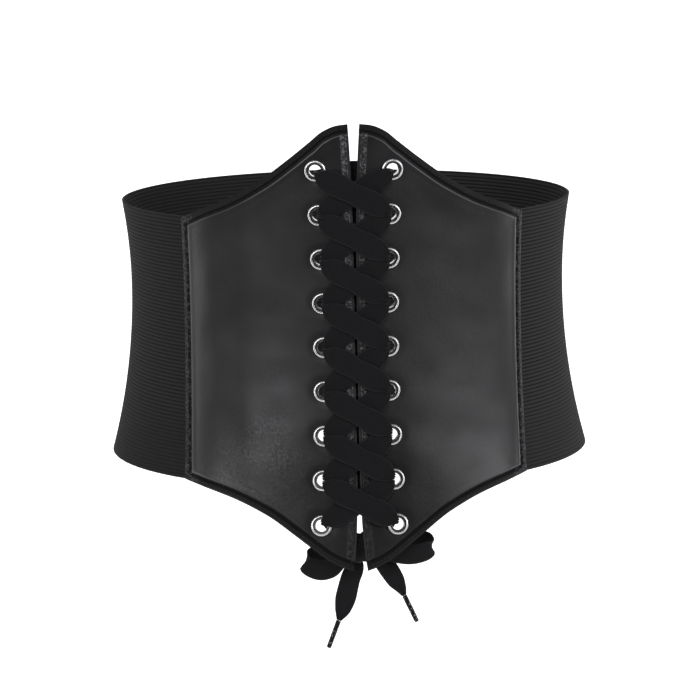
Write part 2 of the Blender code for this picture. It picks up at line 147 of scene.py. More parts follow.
def angles_at(arc, height):
    """Angle round the oval for each length, read between two sampled levels."""
    place = np.clip((height - LEVELS[0]) / (LEVELS[1] - LEVELS[0]), 0.0, len(LEVELS) - 1.001)
    lower = place.astype(int)
    share = place - lower
    angle = np.zeros_like(arc)
    for level in np.unique(lower):
        here = lower == level
        low = np.interp(np.abs(arc[here]), LEVEL_LENGTHS[level], ROUND_ANGLES)
        high = np.interp(np.abs(arc[here]), LEVEL_LENGTHS[level + 1], ROUND_ANGLES)
        angle[here] = low + (high - low) * share[here]
    return np.copysign(angle, arc)


def lay_round(points):
    """Carry pattern points to their places on the waist."""
    arc, height, lift = np.asarray(points, dtype=float).T
    angle = angles_at(arc, height)
    wide, wide_rate, deep, deep_rate = oval(height)
    sine, cosine = np.sin(angle), np.cos(angle)
    normal = np.stack([
        deep * sine, -wide * cosine, -wide * deep_rate * cosine ** 2 - deep * wide_rate * sine ** 2], 1)
    normal /= np.linalg.norm(normal, axis=1)[:, None]
    return np.stack([wide * sine, -deep * cosine, height], 1) + normal * lift[:, None]


def on_waist(arc, height, lift):
    """One pattern point on the waist, with the direction that leaves the body there."""
    near, far = lay_round([(arc, height, lift), (arc, height, lift + MM)])
    return Vector(near), (Vector(far) - Vector(near)).normalized()


print("centre front", [round(value, 4) for value in on_waist(0.0, 0.0, 0.0)[0]])

# %% [markdown]
# ## From bmesh to a finished piece
# A piece starts as a bmesh and ends as an object at the origin with its own mesh, a material slot and the
# frame's solids that it stands for. A point attribute called pattern keeps each point's place in the flat
# work, so that a weave can follow the cloth.

# %% Make, settle and register a piece
RIM_ROUNDING = 0.25 * MM
RIM_ANGLE = math.radians(65.0)


def new_object(name, bm, finish):
    """An object with this bmesh and finish."""
    mesh = bpy.data.meshes.new(name)
    bm.to_mesh(mesh)
    bm.free()
    mesh.materials.append(finish)
    return add_object(name, mesh)


def flat_grid(columns, rows):
    """A grid, with the column and the row of each of its vertices."""
    bm = bmesh.new()
    bmesh.ops.create_grid(bm, x_segments=columns, y_segments=rows, size=0.5)
    share = np.array([vertex.co[:2] for vertex in bm.verts]) + 0.5
    column, row = np.rint(share * (columns, rows)).astype(int).T
    return bm, column, row


def shape(bm, places, side=1):
    """Move every vertex to its place, and keep the outer face outside on the left as well."""
    for vertex, place in zip(bm.verts, places):
        vertex.co = place
    if side < 0:
        bmesh.ops.reverse_faces(bm, faces=bm.faces)


def note_pattern(bm, pattern):
    """Keep a place on the pattern with every vertex."""
    layer = bm.verts.layers.float_vector.new("pattern")
    for vertex, place in zip(bm.verts, pattern):
        vertex[layer] = place


def turned(profile, steps, closed=False):
    """A profile of radii and heights, spun round the upright axis."""
    bm = bmesh.new()
    line = [bm.verts.new((radius, 0.0, height)) for radius, height in profile]
    edges = [bm.edges.new(pair) for pair in zip(line, line[1:] + line[:1] * closed)]
    bmesh.ops.spin(
        bm, geom=line + edges, cent=(0, 0, 0), axis=(0, 0, 1), angle=FULL_TURN, steps=steps, use_merge=True)
    bmesh.ops.remove_doubles(bm, verts=bm.verts, dist=0.001 * MM)
    bmesh.ops.recalc_face_normals(bm, faces=bm.faces)
    return bm


def set_down(bm, place, way):
    """Turn an upright shape to a direction and move it to its place."""
    turn = Matrix.Translation(place) @ way.to_track_quat("Z", "Y").to_matrix().to_4x4()
    bmesh.ops.transform(bm, matrix=turn, verts=bm.verts)


def give_wall(piece, thickness, rounded=True):
    """Thicken a sheet inwards, and round its rim if it is turned."""
    wall = piece.modifiers.new("wall", "SOLIDIFY")
    wall.thickness = thickness
    wall.offset = -1.0
    if rounded:
        rim = piece.modifiers.new("rounded rim", "BEVEL")
        rim.width = RIM_ROUNDING
        rim.segments = 2
        rim.angle_limit = RIM_ANGLE


def settle(piece):
    """Make the modifiers' result the object's own mesh."""
    graph = bpy.context.evaluated_depsgraph_get()
    settled = bpy.data.meshes.new_from_object(piece.evaluated_get(graph))
    piece.modifiers.clear()
    piece.data = settled


def vertex_places(mesh):
    """All vertices of a mesh as an array."""
    places = np.empty(len(mesh.vertices) * 3)
    mesh.vertices.foreach_get("co", places)
    return places.reshape(-1, 3)


def wear(piece, pattern):
    """Keep the pattern of a flat piece and lay the piece round the waist."""
    kept = piece.data.attributes.new("pattern", "FLOAT_VECTOR", "POINT")
    kept.data.foreach_set("vector", pattern.ravel())
    piece.data.vertices.foreach_set("co", lay_round(vertex_places(piece.data)).ravel())
    piece.data.update()


def register(piece, slot, *nodes, crease=50.0):
    """Shade the piece and let it stand for the frame's nodes. The slot is not used."""
    piece.data.shade_smooth()
    piece.data.set_sharp_from_angle(angle=math.radians(crease))
    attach(piece, "root")
    if nodes:
        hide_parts(*nodes)
    piece.data.calc_loop_triangles()
    print(piece.name, len(piece.data.loop_triangles), "triangles")
    return piece


# %% [markdown]
# ## Finishes as expressions
# Shader maths reads best as plain sums, so a small class wraps a socket and each operator on it adds a
# Math node. Every other node comes from one method that takes its type, its settings and what goes into
# its sockets.

# %% Sockets that take Python's operators
class Flow:
    """A value that leaves a node."""

    def __init__(self, finish, socket):
        self.finish = finish
        self.socket = socket

    def maths(self, operation, first, second=0.0):
        return self.finish.node("ShaderNodeMath", {"operation": operation}, {0: first, 1: second})

    def __add__(self, other):
        return self.maths("ADD", self, other)

    __radd__ = __add__

    def __sub__(self, other):
        return self.maths("SUBTRACT", self, other)

    def __rsub__(self, other):
        return self.maths("SUBTRACT", other, self)

    def __mul__(self, other):
        return self.maths("MULTIPLY", self, other)

    def __abs__(self):
        return self.maths("ABSOLUTE", self)

    def wave(self, length):
        """A wave between 0 and 1 that repeats after this length."""
        return self.maths("SINE", self * (FULL_TURN / length)) * 0.5 + 0.5

    def ramp(self, low, high):
        """0 below low, 1 above high and a soft slope between."""
        return self.finish.node(
            "ShaderNodeMapRange", {"interpolation_type": "SMOOTHSTEP"},
            {"Value": self, "From Min": low, "From Max": high})

    def beside(self, middle, inner, outer):
        """1 close to a value, 0 past the outer distance from it."""
        return 1.0 - abs(self - middle).ramp(inner, outer)


# %% A finish and its nodes
class Finish:
    """A material whose nodes are written as expressions."""

    def __init__(self, name, **constants):
        self.material = bpy.data.materials.new(name)
        self.material.use_nodes = True
        self.shader = self.material.node_tree.nodes["Principled BSDF"]
        for key, value in constants.items():
            self.socket(key).default_value = value

    def socket(self, key):
        """The shader's socket for a keyword."""
        return self.shader.inputs[key.replace("_", " ").title().replace("Ior", "IOR")]

    def node(self, kind, settings=None, sockets=None, output=0):
        made = self.material.node_tree.nodes.new(kind)
        for setting, value in (settings or {}).items():
            setattr(made, setting, value)
        for key, value in (sockets or {}).items():
            if isinstance(value, Flow):
                self.material.node_tree.links.new(value.socket, made.inputs[key])
            else:
                made.inputs[key].default_value = value
        return Flow(self, made.outputs[output])

    def place(self):
        """Where a point is on the object, in metres."""
        return self.node("ShaderNodeTexCoord", output="Object")

    def split(self, vector):
        """The three coordinates of a vector."""
        return [self.node("ShaderNodeSeparateXYZ", sockets={0: vector}, output=axis) for axis in range(3)]

    def pattern(self):
        """The three coordinates of the flat pattern, in metres."""
        return self.split(self.node("ShaderNodeAttribute", {"attribute_name": "pattern"}, output="Vector"))

    def grain(self, scale, detail=2.0, roughness=0.5):
        """Soft cloudy noise."""
        return self.node(
            "ShaderNodeTexNoise",
            sockets={"Vector": self.place(), "Scale": scale, "Detail": detail, "Roughness": roughness})

    def pebbles(self, scale):
        """Rounded cells, dark in their middles."""
        return self.node("ShaderNodeTexVoronoi", sockets={"Vector": self.place(), "Scale": scale})

    def near(self, point, inner, outer):
        """1 close to a point of the object, 0 past the outer distance."""
        return 1.0 - self.node(
            "ShaderNodeVectorMath", {"operation": "DISTANCE"}, {0: self.place(), 1: point},
            output="Value").ramp(inner, outer)

    def tone(self, factor, first, second):
        """A colour between two colours."""
        colours = {0: factor, 6: (*first, 1.0), 7: (*second, 1.0)}
        return self.node("ShaderNodeMix", {"data_type": "RGBA"}, colours, output=2)

    def bump(self, height, distance):
        """A normal that rises with the height, up to this distance."""
        return self.node("ShaderNodeBump", sockets={"Height": height, "Distance": distance})

    def feed(self, **sockets):
        """Let values that vary over the surface reach the shader."""
        for key, value in sockets.items():
            self.material.node_tree.links.new(value.socket, self.socket(key))
        return self.material


print("finish helpers ready")

# %% [markdown]
# ## Lace finish
# The lace is a flat woven ribbon, matte and darker than everything round it, with a painted highlight along
# both edges.
# Its weave shows only close up, so it is a bump made from waves on the ribbon's own pattern.

# %% Woven lace
LACE_WIDTH = 10.0 * MM
LACE_THICKNESS = 0.8 * MM
LACE_EDGE_HIGHLIGHT = (4.2 * MM, 4.7 * MM)
LACE_TONES = ((0.0035, 0.0033, 0.0039), (0.0220, 0.0208, 0.0236))


def lace_finish():
    lace = Finish("lace", specular_ior_level=0.2, sheen_weight=0.06, sheen_roughness=0.4)
    across, along, _ = lace.pattern()
    plies = (abs(across) + along).wave(0.8 * MM)
    rows = across.wave(0.9 * MM)
    fuzz = lace.grain(1900.0, 2.0, 0.6)
    weave = plies * 0.45 + rows * 0.3 + fuzz * 0.25
    # The paler band along both edges of the ribbon is a painted highlight.
    shade = weave.ramp(0.2, 0.9) * 0.35 + abs(across).ramp(*LACE_EDGE_HIGHLIGHT) * 0.32
    return lace.feed(
        base_color=lace.tone(shade, *LACE_TONES), roughness=0.8 + fuzz * 0.12,
        normal=lace.bump(weave, 0.16 * MM))


LACE = lace_finish()
print(LACE.name, "ready")

# %% [markdown]
# ## Ribbons
# A ribbon follows stations that give its middle line, width and thickness. A grid is bent into a
# flattened tube along them, its seam is merged and its ends are closed. Where the ribbon is gathered it
# falls into pleats, deeper the narrower it is pulled.

# %% A smooth line through stations
def smooth_line(places, values, at):
    """A curve through the values that never swings past them."""
    places = np.asarray(places, dtype=float)
    values = np.asarray(values, dtype=float)
    gaps = np.diff(places)
    rises = (np.diff(values, axis=0).T / gaps).T
    before, after = rises[:-1], rises[1:]
    level = before * after <= 0.0
    total = np.where(level, 1.0, before + after)
    inner = np.where(level, 0.0, 2.0 * before * after / total)
    slopes = np.concatenate((rises[:1], inner, rises[-1:]))
    at = np.clip(at, places[0], places[-1])
    index = np.clip(np.searchsorted(places, at, side="right") - 1, 0, len(gaps) - 1)
    t = (at - places[index]) / gaps[index]
    stretch = gaps[index]
    if values.ndim > 1:
        t, stretch = t[:, None], stretch[:, None]
    start = values[index] * (1 + 2 * t) * (1 - t) ** 2 + slopes[index] * stretch * t * (1 - t) ** 2
    end = values[index + 1] * t ** 2 * (3 - 2 * t) + slopes[index + 1] * stretch * t ** 2 * (t - 1)
    return start + end


def resample(stations, step):
    """The same stations at even steps along their middle line, with the length to each."""
    stations = np.asarray(stations, dtype=float)
    lengths = lengths_along(stations[:, :3])
    at = np.linspace(0.0, lengths[-1], max(int(round(lengths[-1] / step)), 2) + 1)
    return smooth_line(lengths, stations, at), at


print("a curve half way:", smooth_line([0, 1, 3], [0.0, 1.0, 5.0], np.array([2.0])))

# %% Sweep a ribbon
RIBBON_SIDES = 20
RIBBON_SQUARENESS = 6
PLEAT_DEPTH = 0.55 * MM
PLEAT_TURNS = 2.3
PLEAT_START = 0.6


def unit(vectors):
    """Vectors of length one."""
    return vectors / np.linalg.norm(vectors, axis=1)[:, None]


def ribbon_rings(stations, along):
    """Places and pattern of every ring of a ribbon.

    A station is its middle point, its width, its thickness and the direction of its width.
    """
    middle, width, thickness, lean = np.split(stations, (3, 4, 5), axis=1)
    travel = unit(np.gradient(middle, along, axis=0))
    across = unit(lean - travel * np.sum(lean * travel, axis=1)[:, None])
    through = np.cross(travel, across)
    turn = np.linspace(0.0, FULL_TURN, RIBBON_SIDES + 1)
    share = np.cos(turn)
    face = np.copysign(np.sqrt(np.maximum(1.0 - share ** RIBBON_SQUARENESS, 0.0)), np.sin(turn))
    face[[0, RIBBON_SIDES // 2, RIBBON_SIDES]] = 0.0
    gather = np.clip(1.0 - width / LACE_WIDTH, 0.0, 1.0)
    pleat = PLEAT_DEPTH * gather * np.cos(PLEAT_TURNS * math.pi * share + PLEAT_START)
    side = share * width / 2
    rise = face * thickness / 2 + pleat
    places = middle[:, None] + across[:, None] * side[:, :, None] + through[:, None] * rise[:, :, None]
    places[:, -1] = places[:, 0]
    pattern = np.zeros_like(places)
    pattern[:, :, 0] = share * LACE_WIDTH / 2
    pattern[:, :, 1] = along[:, None]
    return places, pattern


def ribbon_bmesh(places, pattern):
    """A grid bent into the ribbon's rings, with its seam merged and its ends closed."""
    bm, column, row = flat_grid(places.shape[1] - 1, places.shape[0] - 1)
    shape(bm, places[row, column])
    note_pattern(bm, pattern[row, column])
    bmesh.ops.remove_doubles(bm, verts=bm.verts, dist=0.0001 * MM)
    bmesh.ops.holes_fill(bm, edges=bm.edges, sides=0)
    bmesh.ops.recalc_face_normals(bm, faces=bm.faces)
    return bm


print("ribbon", LACE_WIDTH * 1000, "mm wide")

# %% [markdown]
# ## Lace ends
# Below the last eyelets the lace is tied in a bow behind the tips of the panels. Each free end makes one
# loop of the bow and then hangs as a tail with a stiff tip. The ribbon stands upright in the loop and
# turns to face front in the tail.

# %% Routes of the lace ends
TIP_TOP = ELASTIC_TOP + 46.5 * MM
TIP_BOTTOM = ELASTIC_BOTTOM - 38.8 * MM
KNOT_WIDTH = 11.0 * MM
KNOT_HEIGHT = 14.5 * MM
KNOT_DEPTH = 6.4 * MM
KNOT_SHIFT = 0.7 * MM
KNOT_ABOVE_TIP = 10.0 * MM
BOW_REACH = 26.0 * MM
GAP = 0.3 * MM

knot_height = TIP_BOTTOM + KNOT_ABOVE_TIP
KNOT = Vector((KNOT_SHIFT, -float(oval(knot_height)[2]) + GAP * 3 + KNOT_DEPTH / 2, knot_height))

# Out and up as shares of the reach, behind as a share of the knot's depth, width as a share of the lace's
# width, and facing, which is 0 where the width stands upright and 1 where it lies across the tail
LEFT_ROUTE = (
    (0.062, 0.00, -0.092, 0.40, 0.0),
    (0.196, 0.04, -0.269, 0.70, 0.05),
    (0.385, 0.12, -0.400, 0.94, 0.12),
    (0.538, 0.26, -0.423, 1.00, 0.2),
    (0.708, 0.46, -0.377, 0.98, 0.3),
    (0.804, 0.74, -0.308, 0.90, 0.33),
    (0.746, 1.06, -0.246, 0.94, 0.33),
    (0.577, 1.23, -0.192, 0.98, 0.2),
    (0.385, 1.10, -0.138, 0.86, 0.1),
    (0.200, 0.84, -0.092, 0.60, 0.0),
    (0.062, 0.78, -0.092, 0.40, 0.3),
    (-0.062, 0.84, -0.223, 0.62, 0.8),
    (-0.085, 0.80, -0.392, 0.92, 1.0),
    (0.000, 0.68, -0.662, 0.96, 1.0),
    (0.073, 0.62, -0.946, 1.00, 1.0),
    (0.142, 0.59, -1.208, 0.76, 1.0),
    (0.215, 0.58, -1.400, 0.24, 1.0),
)
RIGHT_ROUTE = (
    (0.050, 0.00, -0.023, 0.45, 0.0),
    (0.212, 0.03, -0.069, 0.75, 0.0),
    (0.442, 0.14, -0.138, 0.94, 0.0),
    (0.712, 0.30, -0.177, 0.96, 0.0),
    (0.942, 0.50, -0.146, 0.94, 0.0),
    (1.085, 0.80, -0.058, 0.88, 0.0),
    (1.000, 1.14, 0.019, 0.94, 0.0),
    (0.731, 1.28, 0.046, 0.98, 0.0),
    (0.462, 1.12, 0.031, 0.84, 0.0),
    (0.192, 0.88, -0.015, 0.56, 0.0),
    (0.046, 0.78, -0.085, 0.40, 0.3),
    (0.069, 0.78, -0.192, 0.50, 0.7),
    (0.169, 0.72, -0.308, 0.80, 0.9),
    (0.296, 0.66, -0.469, 0.93, 1.0),
    (0.415, 0.62, -0.662, 0.86, 1.0),
    (0.515, 0.59, -0.831, 0.54, 1.0),
    (0.573, 0.58, -0.958, 0.24, 1.0),
)


def end_stations(side, route):
    """Ribbon stations of one lace end, in metres."""
    stations = []
    for out, behind, up, width, facing in route:
        step = (side * (KNOT_WIDTH / 2 + out * BOW_REACH), behind * KNOT_DEPTH, up * BOW_REACH)
        lean = Vector((0.0, 0.0, 1.0)).lerp(Vector((-side, 0.0, 0.0)), facing)
        stations.append((*(KNOT + Vector(step)), width * LACE_WIDTH, LACE_THICKNESS, *lean))
    return stations


print("knot at", [round(value, 4) for value in KNOT])

# %% Tips of the lace
AGLET_RADIUS = 1.2 * MM
AGLET_LENGTH = 14.0 * MM
TIP_TONES = ((0.005, 0.005, 0.006), (0.26, 0.26, 0.26))

# Shares of the aglet's radius and length, from where the lace goes in to the free end
AGLET_PROFILE = (
    (0.0, 0.0), (0.8, 0.0), (1.0, 0.012), (1.03, 0.03), (0.99, 0.055), (0.97, 0.5), (0.95, 0.93),
    (0.86, 0.985), (0.6, 1.0), (0.0, 1.0),
)


def tip_finish():
    tip = Finish("lace_tip", specular_ior_level=0.15)
    crinkle = tip.grain(700.0, 3.0, 0.6)
    # The pale specks on the black film are painted glints.
    return tip.feed(
        base_color=tip.tone(crinkle.ramp(0.56, 0.66), *TIP_TONES), roughness=0.34 + crinkle * 0.1,
        normal=tip.bump(crinkle, 0.1 * MM))


TIP = tip_finish()


def make_aglet(name, side, route):
    """Film rolled round the end of the lace: a spun tube with a rolled lip and a rounded end."""
    last, final = [Vector(station[:3]) for station in end_stations(side, route)[-2:]]
    way = (final - last).normalized()
    bm = turned([(share * AGLET_RADIUS, reach * AGLET_LENGTH) for share, reach in AGLET_PROFILE], 20)
    set_down(bm, final + way * GAP, way)
    return register(new_object(name + "_tip", bm, TIP), "aglet", name)


aglet_left = make_aglet("aglet_left", -1, LEFT_ROUTE)
aglet_right = make_aglet("aglet_right", 1, RIGHT_ROUTE)


END_STEP = 0.7 * MM


def make_lace_end(name, side, route):
    """One loop and tail, with its tip on it."""
    stations, along = resample(end_stations(side, route), END_STEP)
    bm = ribbon_bmesh(*ribbon_rings(stations, along))
    end = register(new_object(name + "_ribbon", bm, LACE), "lace", name)
    print(name, round(along[-1] * 1000, 1), "mm long")


make_lace_end("lace_end_left", -1, LEFT_ROUTE)
make_lace_end("lace_end_right", 1, RIGHT_ROUTE)

# %% [markdown]
# ## Knot
# The knot is the lace wound round itself. A soft core gives its bulk, and two gathered bands of the same
# ribbon pass over it, one upright and one on a slant.

# %% Wind the knot
KNOT_CORE = (0.47, 0.42, 0.44)

# Tilt, width, and size as a share of the knot
KNOT_BANDS = ((0.12, 8.5 * MM, 0.88), (0.5, 6.5 * MM, 0.97))
BAND_STATIONS = 25
BAND_STEP = 0.9 * MM


def knot_band(tilt, width, swell):
    """Stations of one turn of ribbon round the knot."""
    slant = Matrix.Rotation(tilt, 3, "Y")
    stations = []
    for angle in np.linspace(0.0, FULL_TURN, BAND_STATIONS):
        ring = Vector((0.0, math.sin(angle) * KNOT_DEPTH / 2, math.cos(angle) * KNOT_HEIGHT / 2)) * swell
        lean = slant @ Vector((1.0, 0.0, 0.0))
        stations.append((*(KNOT + slant @ ring), width, LACE_THICKNESS, *lean))
    return stations


def make_knot():
    """Core and bands in one piece."""
    bm = bmesh.new()
    size = [share * side for share, side in zip(KNOT_CORE, (KNOT_WIDTH, KNOT_DEPTH, KNOT_HEIGHT))]
    place = Matrix.Translation(KNOT) @ Matrix.Diagonal((*size, 1.0))
    bmesh.ops.create_uvsphere(bm, u_segments=24, v_segments=14, radius=1.0, matrix=place)
    note_pattern(bm, [(vertex.co.x, vertex.co.z, 0.0) for vertex in bm.verts])
    knot = new_object("bow_knot_wound", bm, LACE)
    for tilt, width, swell in KNOT_BANDS:
        band = ribbon_bmesh(*ribbon_rings(*resample(knot_band(tilt, width, swell), BAND_STEP)))
        band.from_mesh(knot.data)
        band.to_mesh(knot.data)
        band.free()
    register(knot, "lace", "bow_knot")


make_knot()

# %% [markdown]
# ## Lacing
# Each half of the lace starts behind the top eyelets, comes out through them, crosses to the next eyelet
# on the other panel, goes in, and runs behind to come out again. The stations of one span repeat, and
# each half lies on its own layer so that one passes over the other.

# %% Eyelet places and slit
EYELET_ROWS = 9
TOP_MARGIN = 21.8 * MM
BOTTOM_MARGIN = 21.3 * MM
ROW_PITCH = (TIP_TOP - TIP_BOTTOM - TOP_MARGIN - BOTTOM_MARGIN) / (EYELET_ROWS - 1)
EYELET_INSET = 15.0 * MM
EYELET_FLARE = 2.8 * MM
EYELET_RADIUS = 5.05 * MM
EYELET_CREST = 0.95 * MM
EYELET_METAL = 0.6 * MM
PANEL_WALL = 2.0 * MM
PANEL_FACE = 2.5 * MM


def eyelet_place(side, row):
    """Length round the waist and height of an eyelet's centre."""
    middle = (EYELET_ROWS - 1) / 2
    arc = EYELET_INSET + EYELET_FLARE * ((row - middle) / middle) ** 2
    return Vector((side * arc, TIP_TOP - TOP_MARGIN - ROW_PITCH * row))


print("eyelet rows", round(ROW_PITCH * 1000, 2), "mm apart")

# %% Stations of the lacing
BUNCH_WIDTH = 1.9 * MM
BUNCH_THICKNESS = 1.7 * MM
BUNCH_OFFSET = 1.25 * MM
BUNCH_INSET = 0.5 * MM
LAYER_GAP = 0.5 * MM


def hole_spot(side, row, half):
    """Where the lace crosses an eyelet: its upper half is 1, its lower half -1."""
    place = eyelet_place(side, row)
    return Vector((place.x - side * BUNCH_INSET, place.y + half * BUNCH_OFFSET))


def hole_station(spot):
    """Bunched lace half way through the leather."""
    return spot.x, spot.y, PANEL_FACE - PANEL_WALL / 2, BUNCH_WIDTH, BUNCH_THICKNESS


def front_ends(layer):
    """Distance from the eyelet, lift, width and thickness up to the middle of a front span."""
    face = PANEL_FACE + LACE_THICKNESS / 2
    crest = face + EYELET_CREST + GAP * 2 + layer * (LACE_THICKNESS + LAYER_GAP / 2)
    middle = face + GAP * 3 + layer * (LACE_THICKNESS + LAYER_GAP)
    shoulder = (crest + middle) / 2 if layer else crest - GAP
    return (
        (0.0, crest - LACE_THICKNESS * 1.2, BUNCH_WIDTH * 1.1, BUNCH_THICKNESS * 0.9),
        (EYELET_RADIUS * 0.16, crest, LACE_WIDTH * 0.38, LACE_THICKNESS * 1.2),
        (EYELET_RADIUS * 0.46, crest + GAP * 0.4, LACE_WIDTH * 0.70, LACE_THICKNESS),
        (EYELET_RADIUS * 0.92, crest, LACE_WIDTH * 0.96, LACE_THICKNESS),
        (EYELET_RADIUS * 1.5, shoulder, LACE_WIDTH * 1.13, LACE_THICKNESS),
        (EYELET_RADIUS * 2.05, middle, LACE_WIDTH * 1.15, LACE_THICKNESS),
    )


def back_ends(layer):
    """The same for a span behind the panels."""
    roll = PANEL_FACE - PANEL_WALL - EYELET_METAL * 1.3 - GAP * 2 - LACE_THICKNESS / 2
    depth = roll - layer * (LACE_THICKNESS + GAP)
    return (
        (0.0, depth + LACE_THICKNESS * 1.1, BUNCH_WIDTH, BUNCH_THICKNESS * 0.9),
        (EYELET_RADIUS * 0.14, depth, BUNCH_WIDTH * 1.05, LACE_THICKNESS * 1.3),
        (EYELET_RADIUS * 0.46, depth - GAP / 2, LACE_WIDTH * 0.28, LACE_THICKNESS),
        (EYELET_RADIUS * 1.1, depth, LACE_WIDTH * 0.6, LACE_THICKNESS),
        (EYELET_RADIUS * 1.9, depth, LACE_WIDTH * 0.95, LACE_THICKNESS),
    )


def span(start, end, ends):
    """Stations from one eyelet hole to another, alike at both ends."""
    way = (end - start).normalized()
    stations = [(*(start + way * far), *rest) for far, *rest in ends]
    stations.append((*((start + end) / 2), ends[-1][1], LACE_WIDTH, LACE_THICKNESS))
    stations += [(*(end - way * far), *rest) for far, *rest in reversed(ends)]
    return stations


print("front span", len(span(Vector((0, 0)), Vector((0.03, 0)), front_ends(0))), "stations")


# %% Lace the panels together
LEAD_BEND = 0.62
LACING_STEP = 0.8 * MM


def lead_in(side):
    """From the lowest eyelet to the upper corner of the knot, behind the panel."""
    ends = back_ends(0)
    depth = ends[-1][1]
    start = hole_spot(side, EYELET_ROWS - 1, 1)
    end = Vector((KNOT.x + side * (KNOT_WIDTH / 2 + GAP * 4), KNOT.z + KNOT_HEIGHT * 0.2))
    way = (end - start).normalized()
    stations = [(*(start + way * far), *rest) for far, *rest in ends[:3]]
    stations.append((*start.lerp(end, LEAD_BEND), depth - GAP, LACE_WIDTH * 0.45, LACE_THICKNESS))
    stations.append((*end, depth - GAP * 2, LACE_WIDTH * 0.32, LACE_THICKNESS * 1.2))
    return stations


def lace_run(side, layer):
    """One half of the lace, from a top eyelet down to the knot."""
    stations = [hole_station(hole_spot(side, 0, -1))]
    for row in range(EYELET_ROWS - 1):
        end = hole_spot(-side, row + 1, 1)
        stations += span(hole_spot(side, row, -1), end, front_ends(layer)) + [hole_station(end)]
        if row < EYELET_ROWS - 2:
            out = hole_spot(side, row + 1, -1)
            stations += span(end, out, back_ends(layer)) + [hole_station(out)]
    return stations + lead_in(-side)


def make_lacing():
    """Both halves and the bar behind the top eyelets, swept flat and then laid round the waist."""
    top_bar = span(hole_spot(1, 0, -1), hole_spot(-1, 0, -1), back_ends(0))
    flat = [(*station, 0.0, 1.0, 0.0) for station in lace_run(1, 0)[::-1] + top_bar + lace_run(-1, 1)]
    stations, along = resample(flat, LACING_STEP)
    places, pattern = ribbon_rings(stations, along)
    places = lay_round(places.reshape(-1, 3)).reshape(places.shape)
    lacing = new_object("lacing", ribbon_bmesh(places, pattern), LACE)
    print("lacing", round(along[-1] * 1000), "mm of lace")
    register(lacing, "lace", "lace")


make_lacing()

# %% [markdown]
# ## Leather finish
# The panels are smooth black leather with a fine pebble grain and broad soft highlights, so a thin coat
# lies over a grained base. The turned border is duller, and the sunken seam is duller and darkened with
# painted shade. A soft hollow on the left, with no relief under it, and the lower tips get painted shade
# and less gloss, and beside the slit the gloss is lowered as a painted shadow of the lace. One patch is
# worn, and its crinkles carry painted glints and painted shade. Along the slit the leather draws up in
# puckers lit by painted highlights, stronger on the left, and thin painted highlights follow the field's
# fold and the lower outer edge.

# %% Pebbled leather
BORDER = 3.6 * MM
STITCH_PITCH = 2.0 * MM
STITCH_LINE = 2.0 * MM
HEM = (0.9 * MM, 4.2 * MM)
SEAM_SHADE_SPREAD = (0.6 * MM, 1.0 * MM)
FOLD_HIGHLIGHT_LINE = BORDER + 1.3 * MM
FOLD_HIGHLIGHT_SPREAD = (0.12 * MM, 0.42 * MM)
PUCKER_PITCH = 1.1 * MM
LACE_SHADOW_REACH = (4.0 * MM, 12.0 * MM)
WORN_PLACE = (-0.041, -0.089, -0.057)
WORN_REACH = (10.0 * MM, 38.0 * MM)
TIP_SHADE_PLACE = (0.0, -0.100, -0.102)
TIP_SHADE_REACH = (46.0 * MM, 86.0 * MM)
HOLLOW_SHADE_MIDDLE = -61.0 * MM
HOLLOW_SHADE_REACH = (5.0 * MM, 15.0 * MM)
HOLLOW_SHADE_LEVEL = (-62.0 * MM, -38.0 * MM)
EDGE_HIGHLIGHT_LINE = 0.5 * MM
EDGE_HIGHLIGHT_SPREAD = (0.15 * MM, 0.5 * MM)
EDGE_HIGHLIGHT_LEVEL = (-75.0 * MM, -60.0 * MM)
WELT = (75.0 * MM, 78.0 * MM)
LEATHER_TONES = ((0.0035, 0.0035, 0.0038), (0.129, 0.126, 0.135))


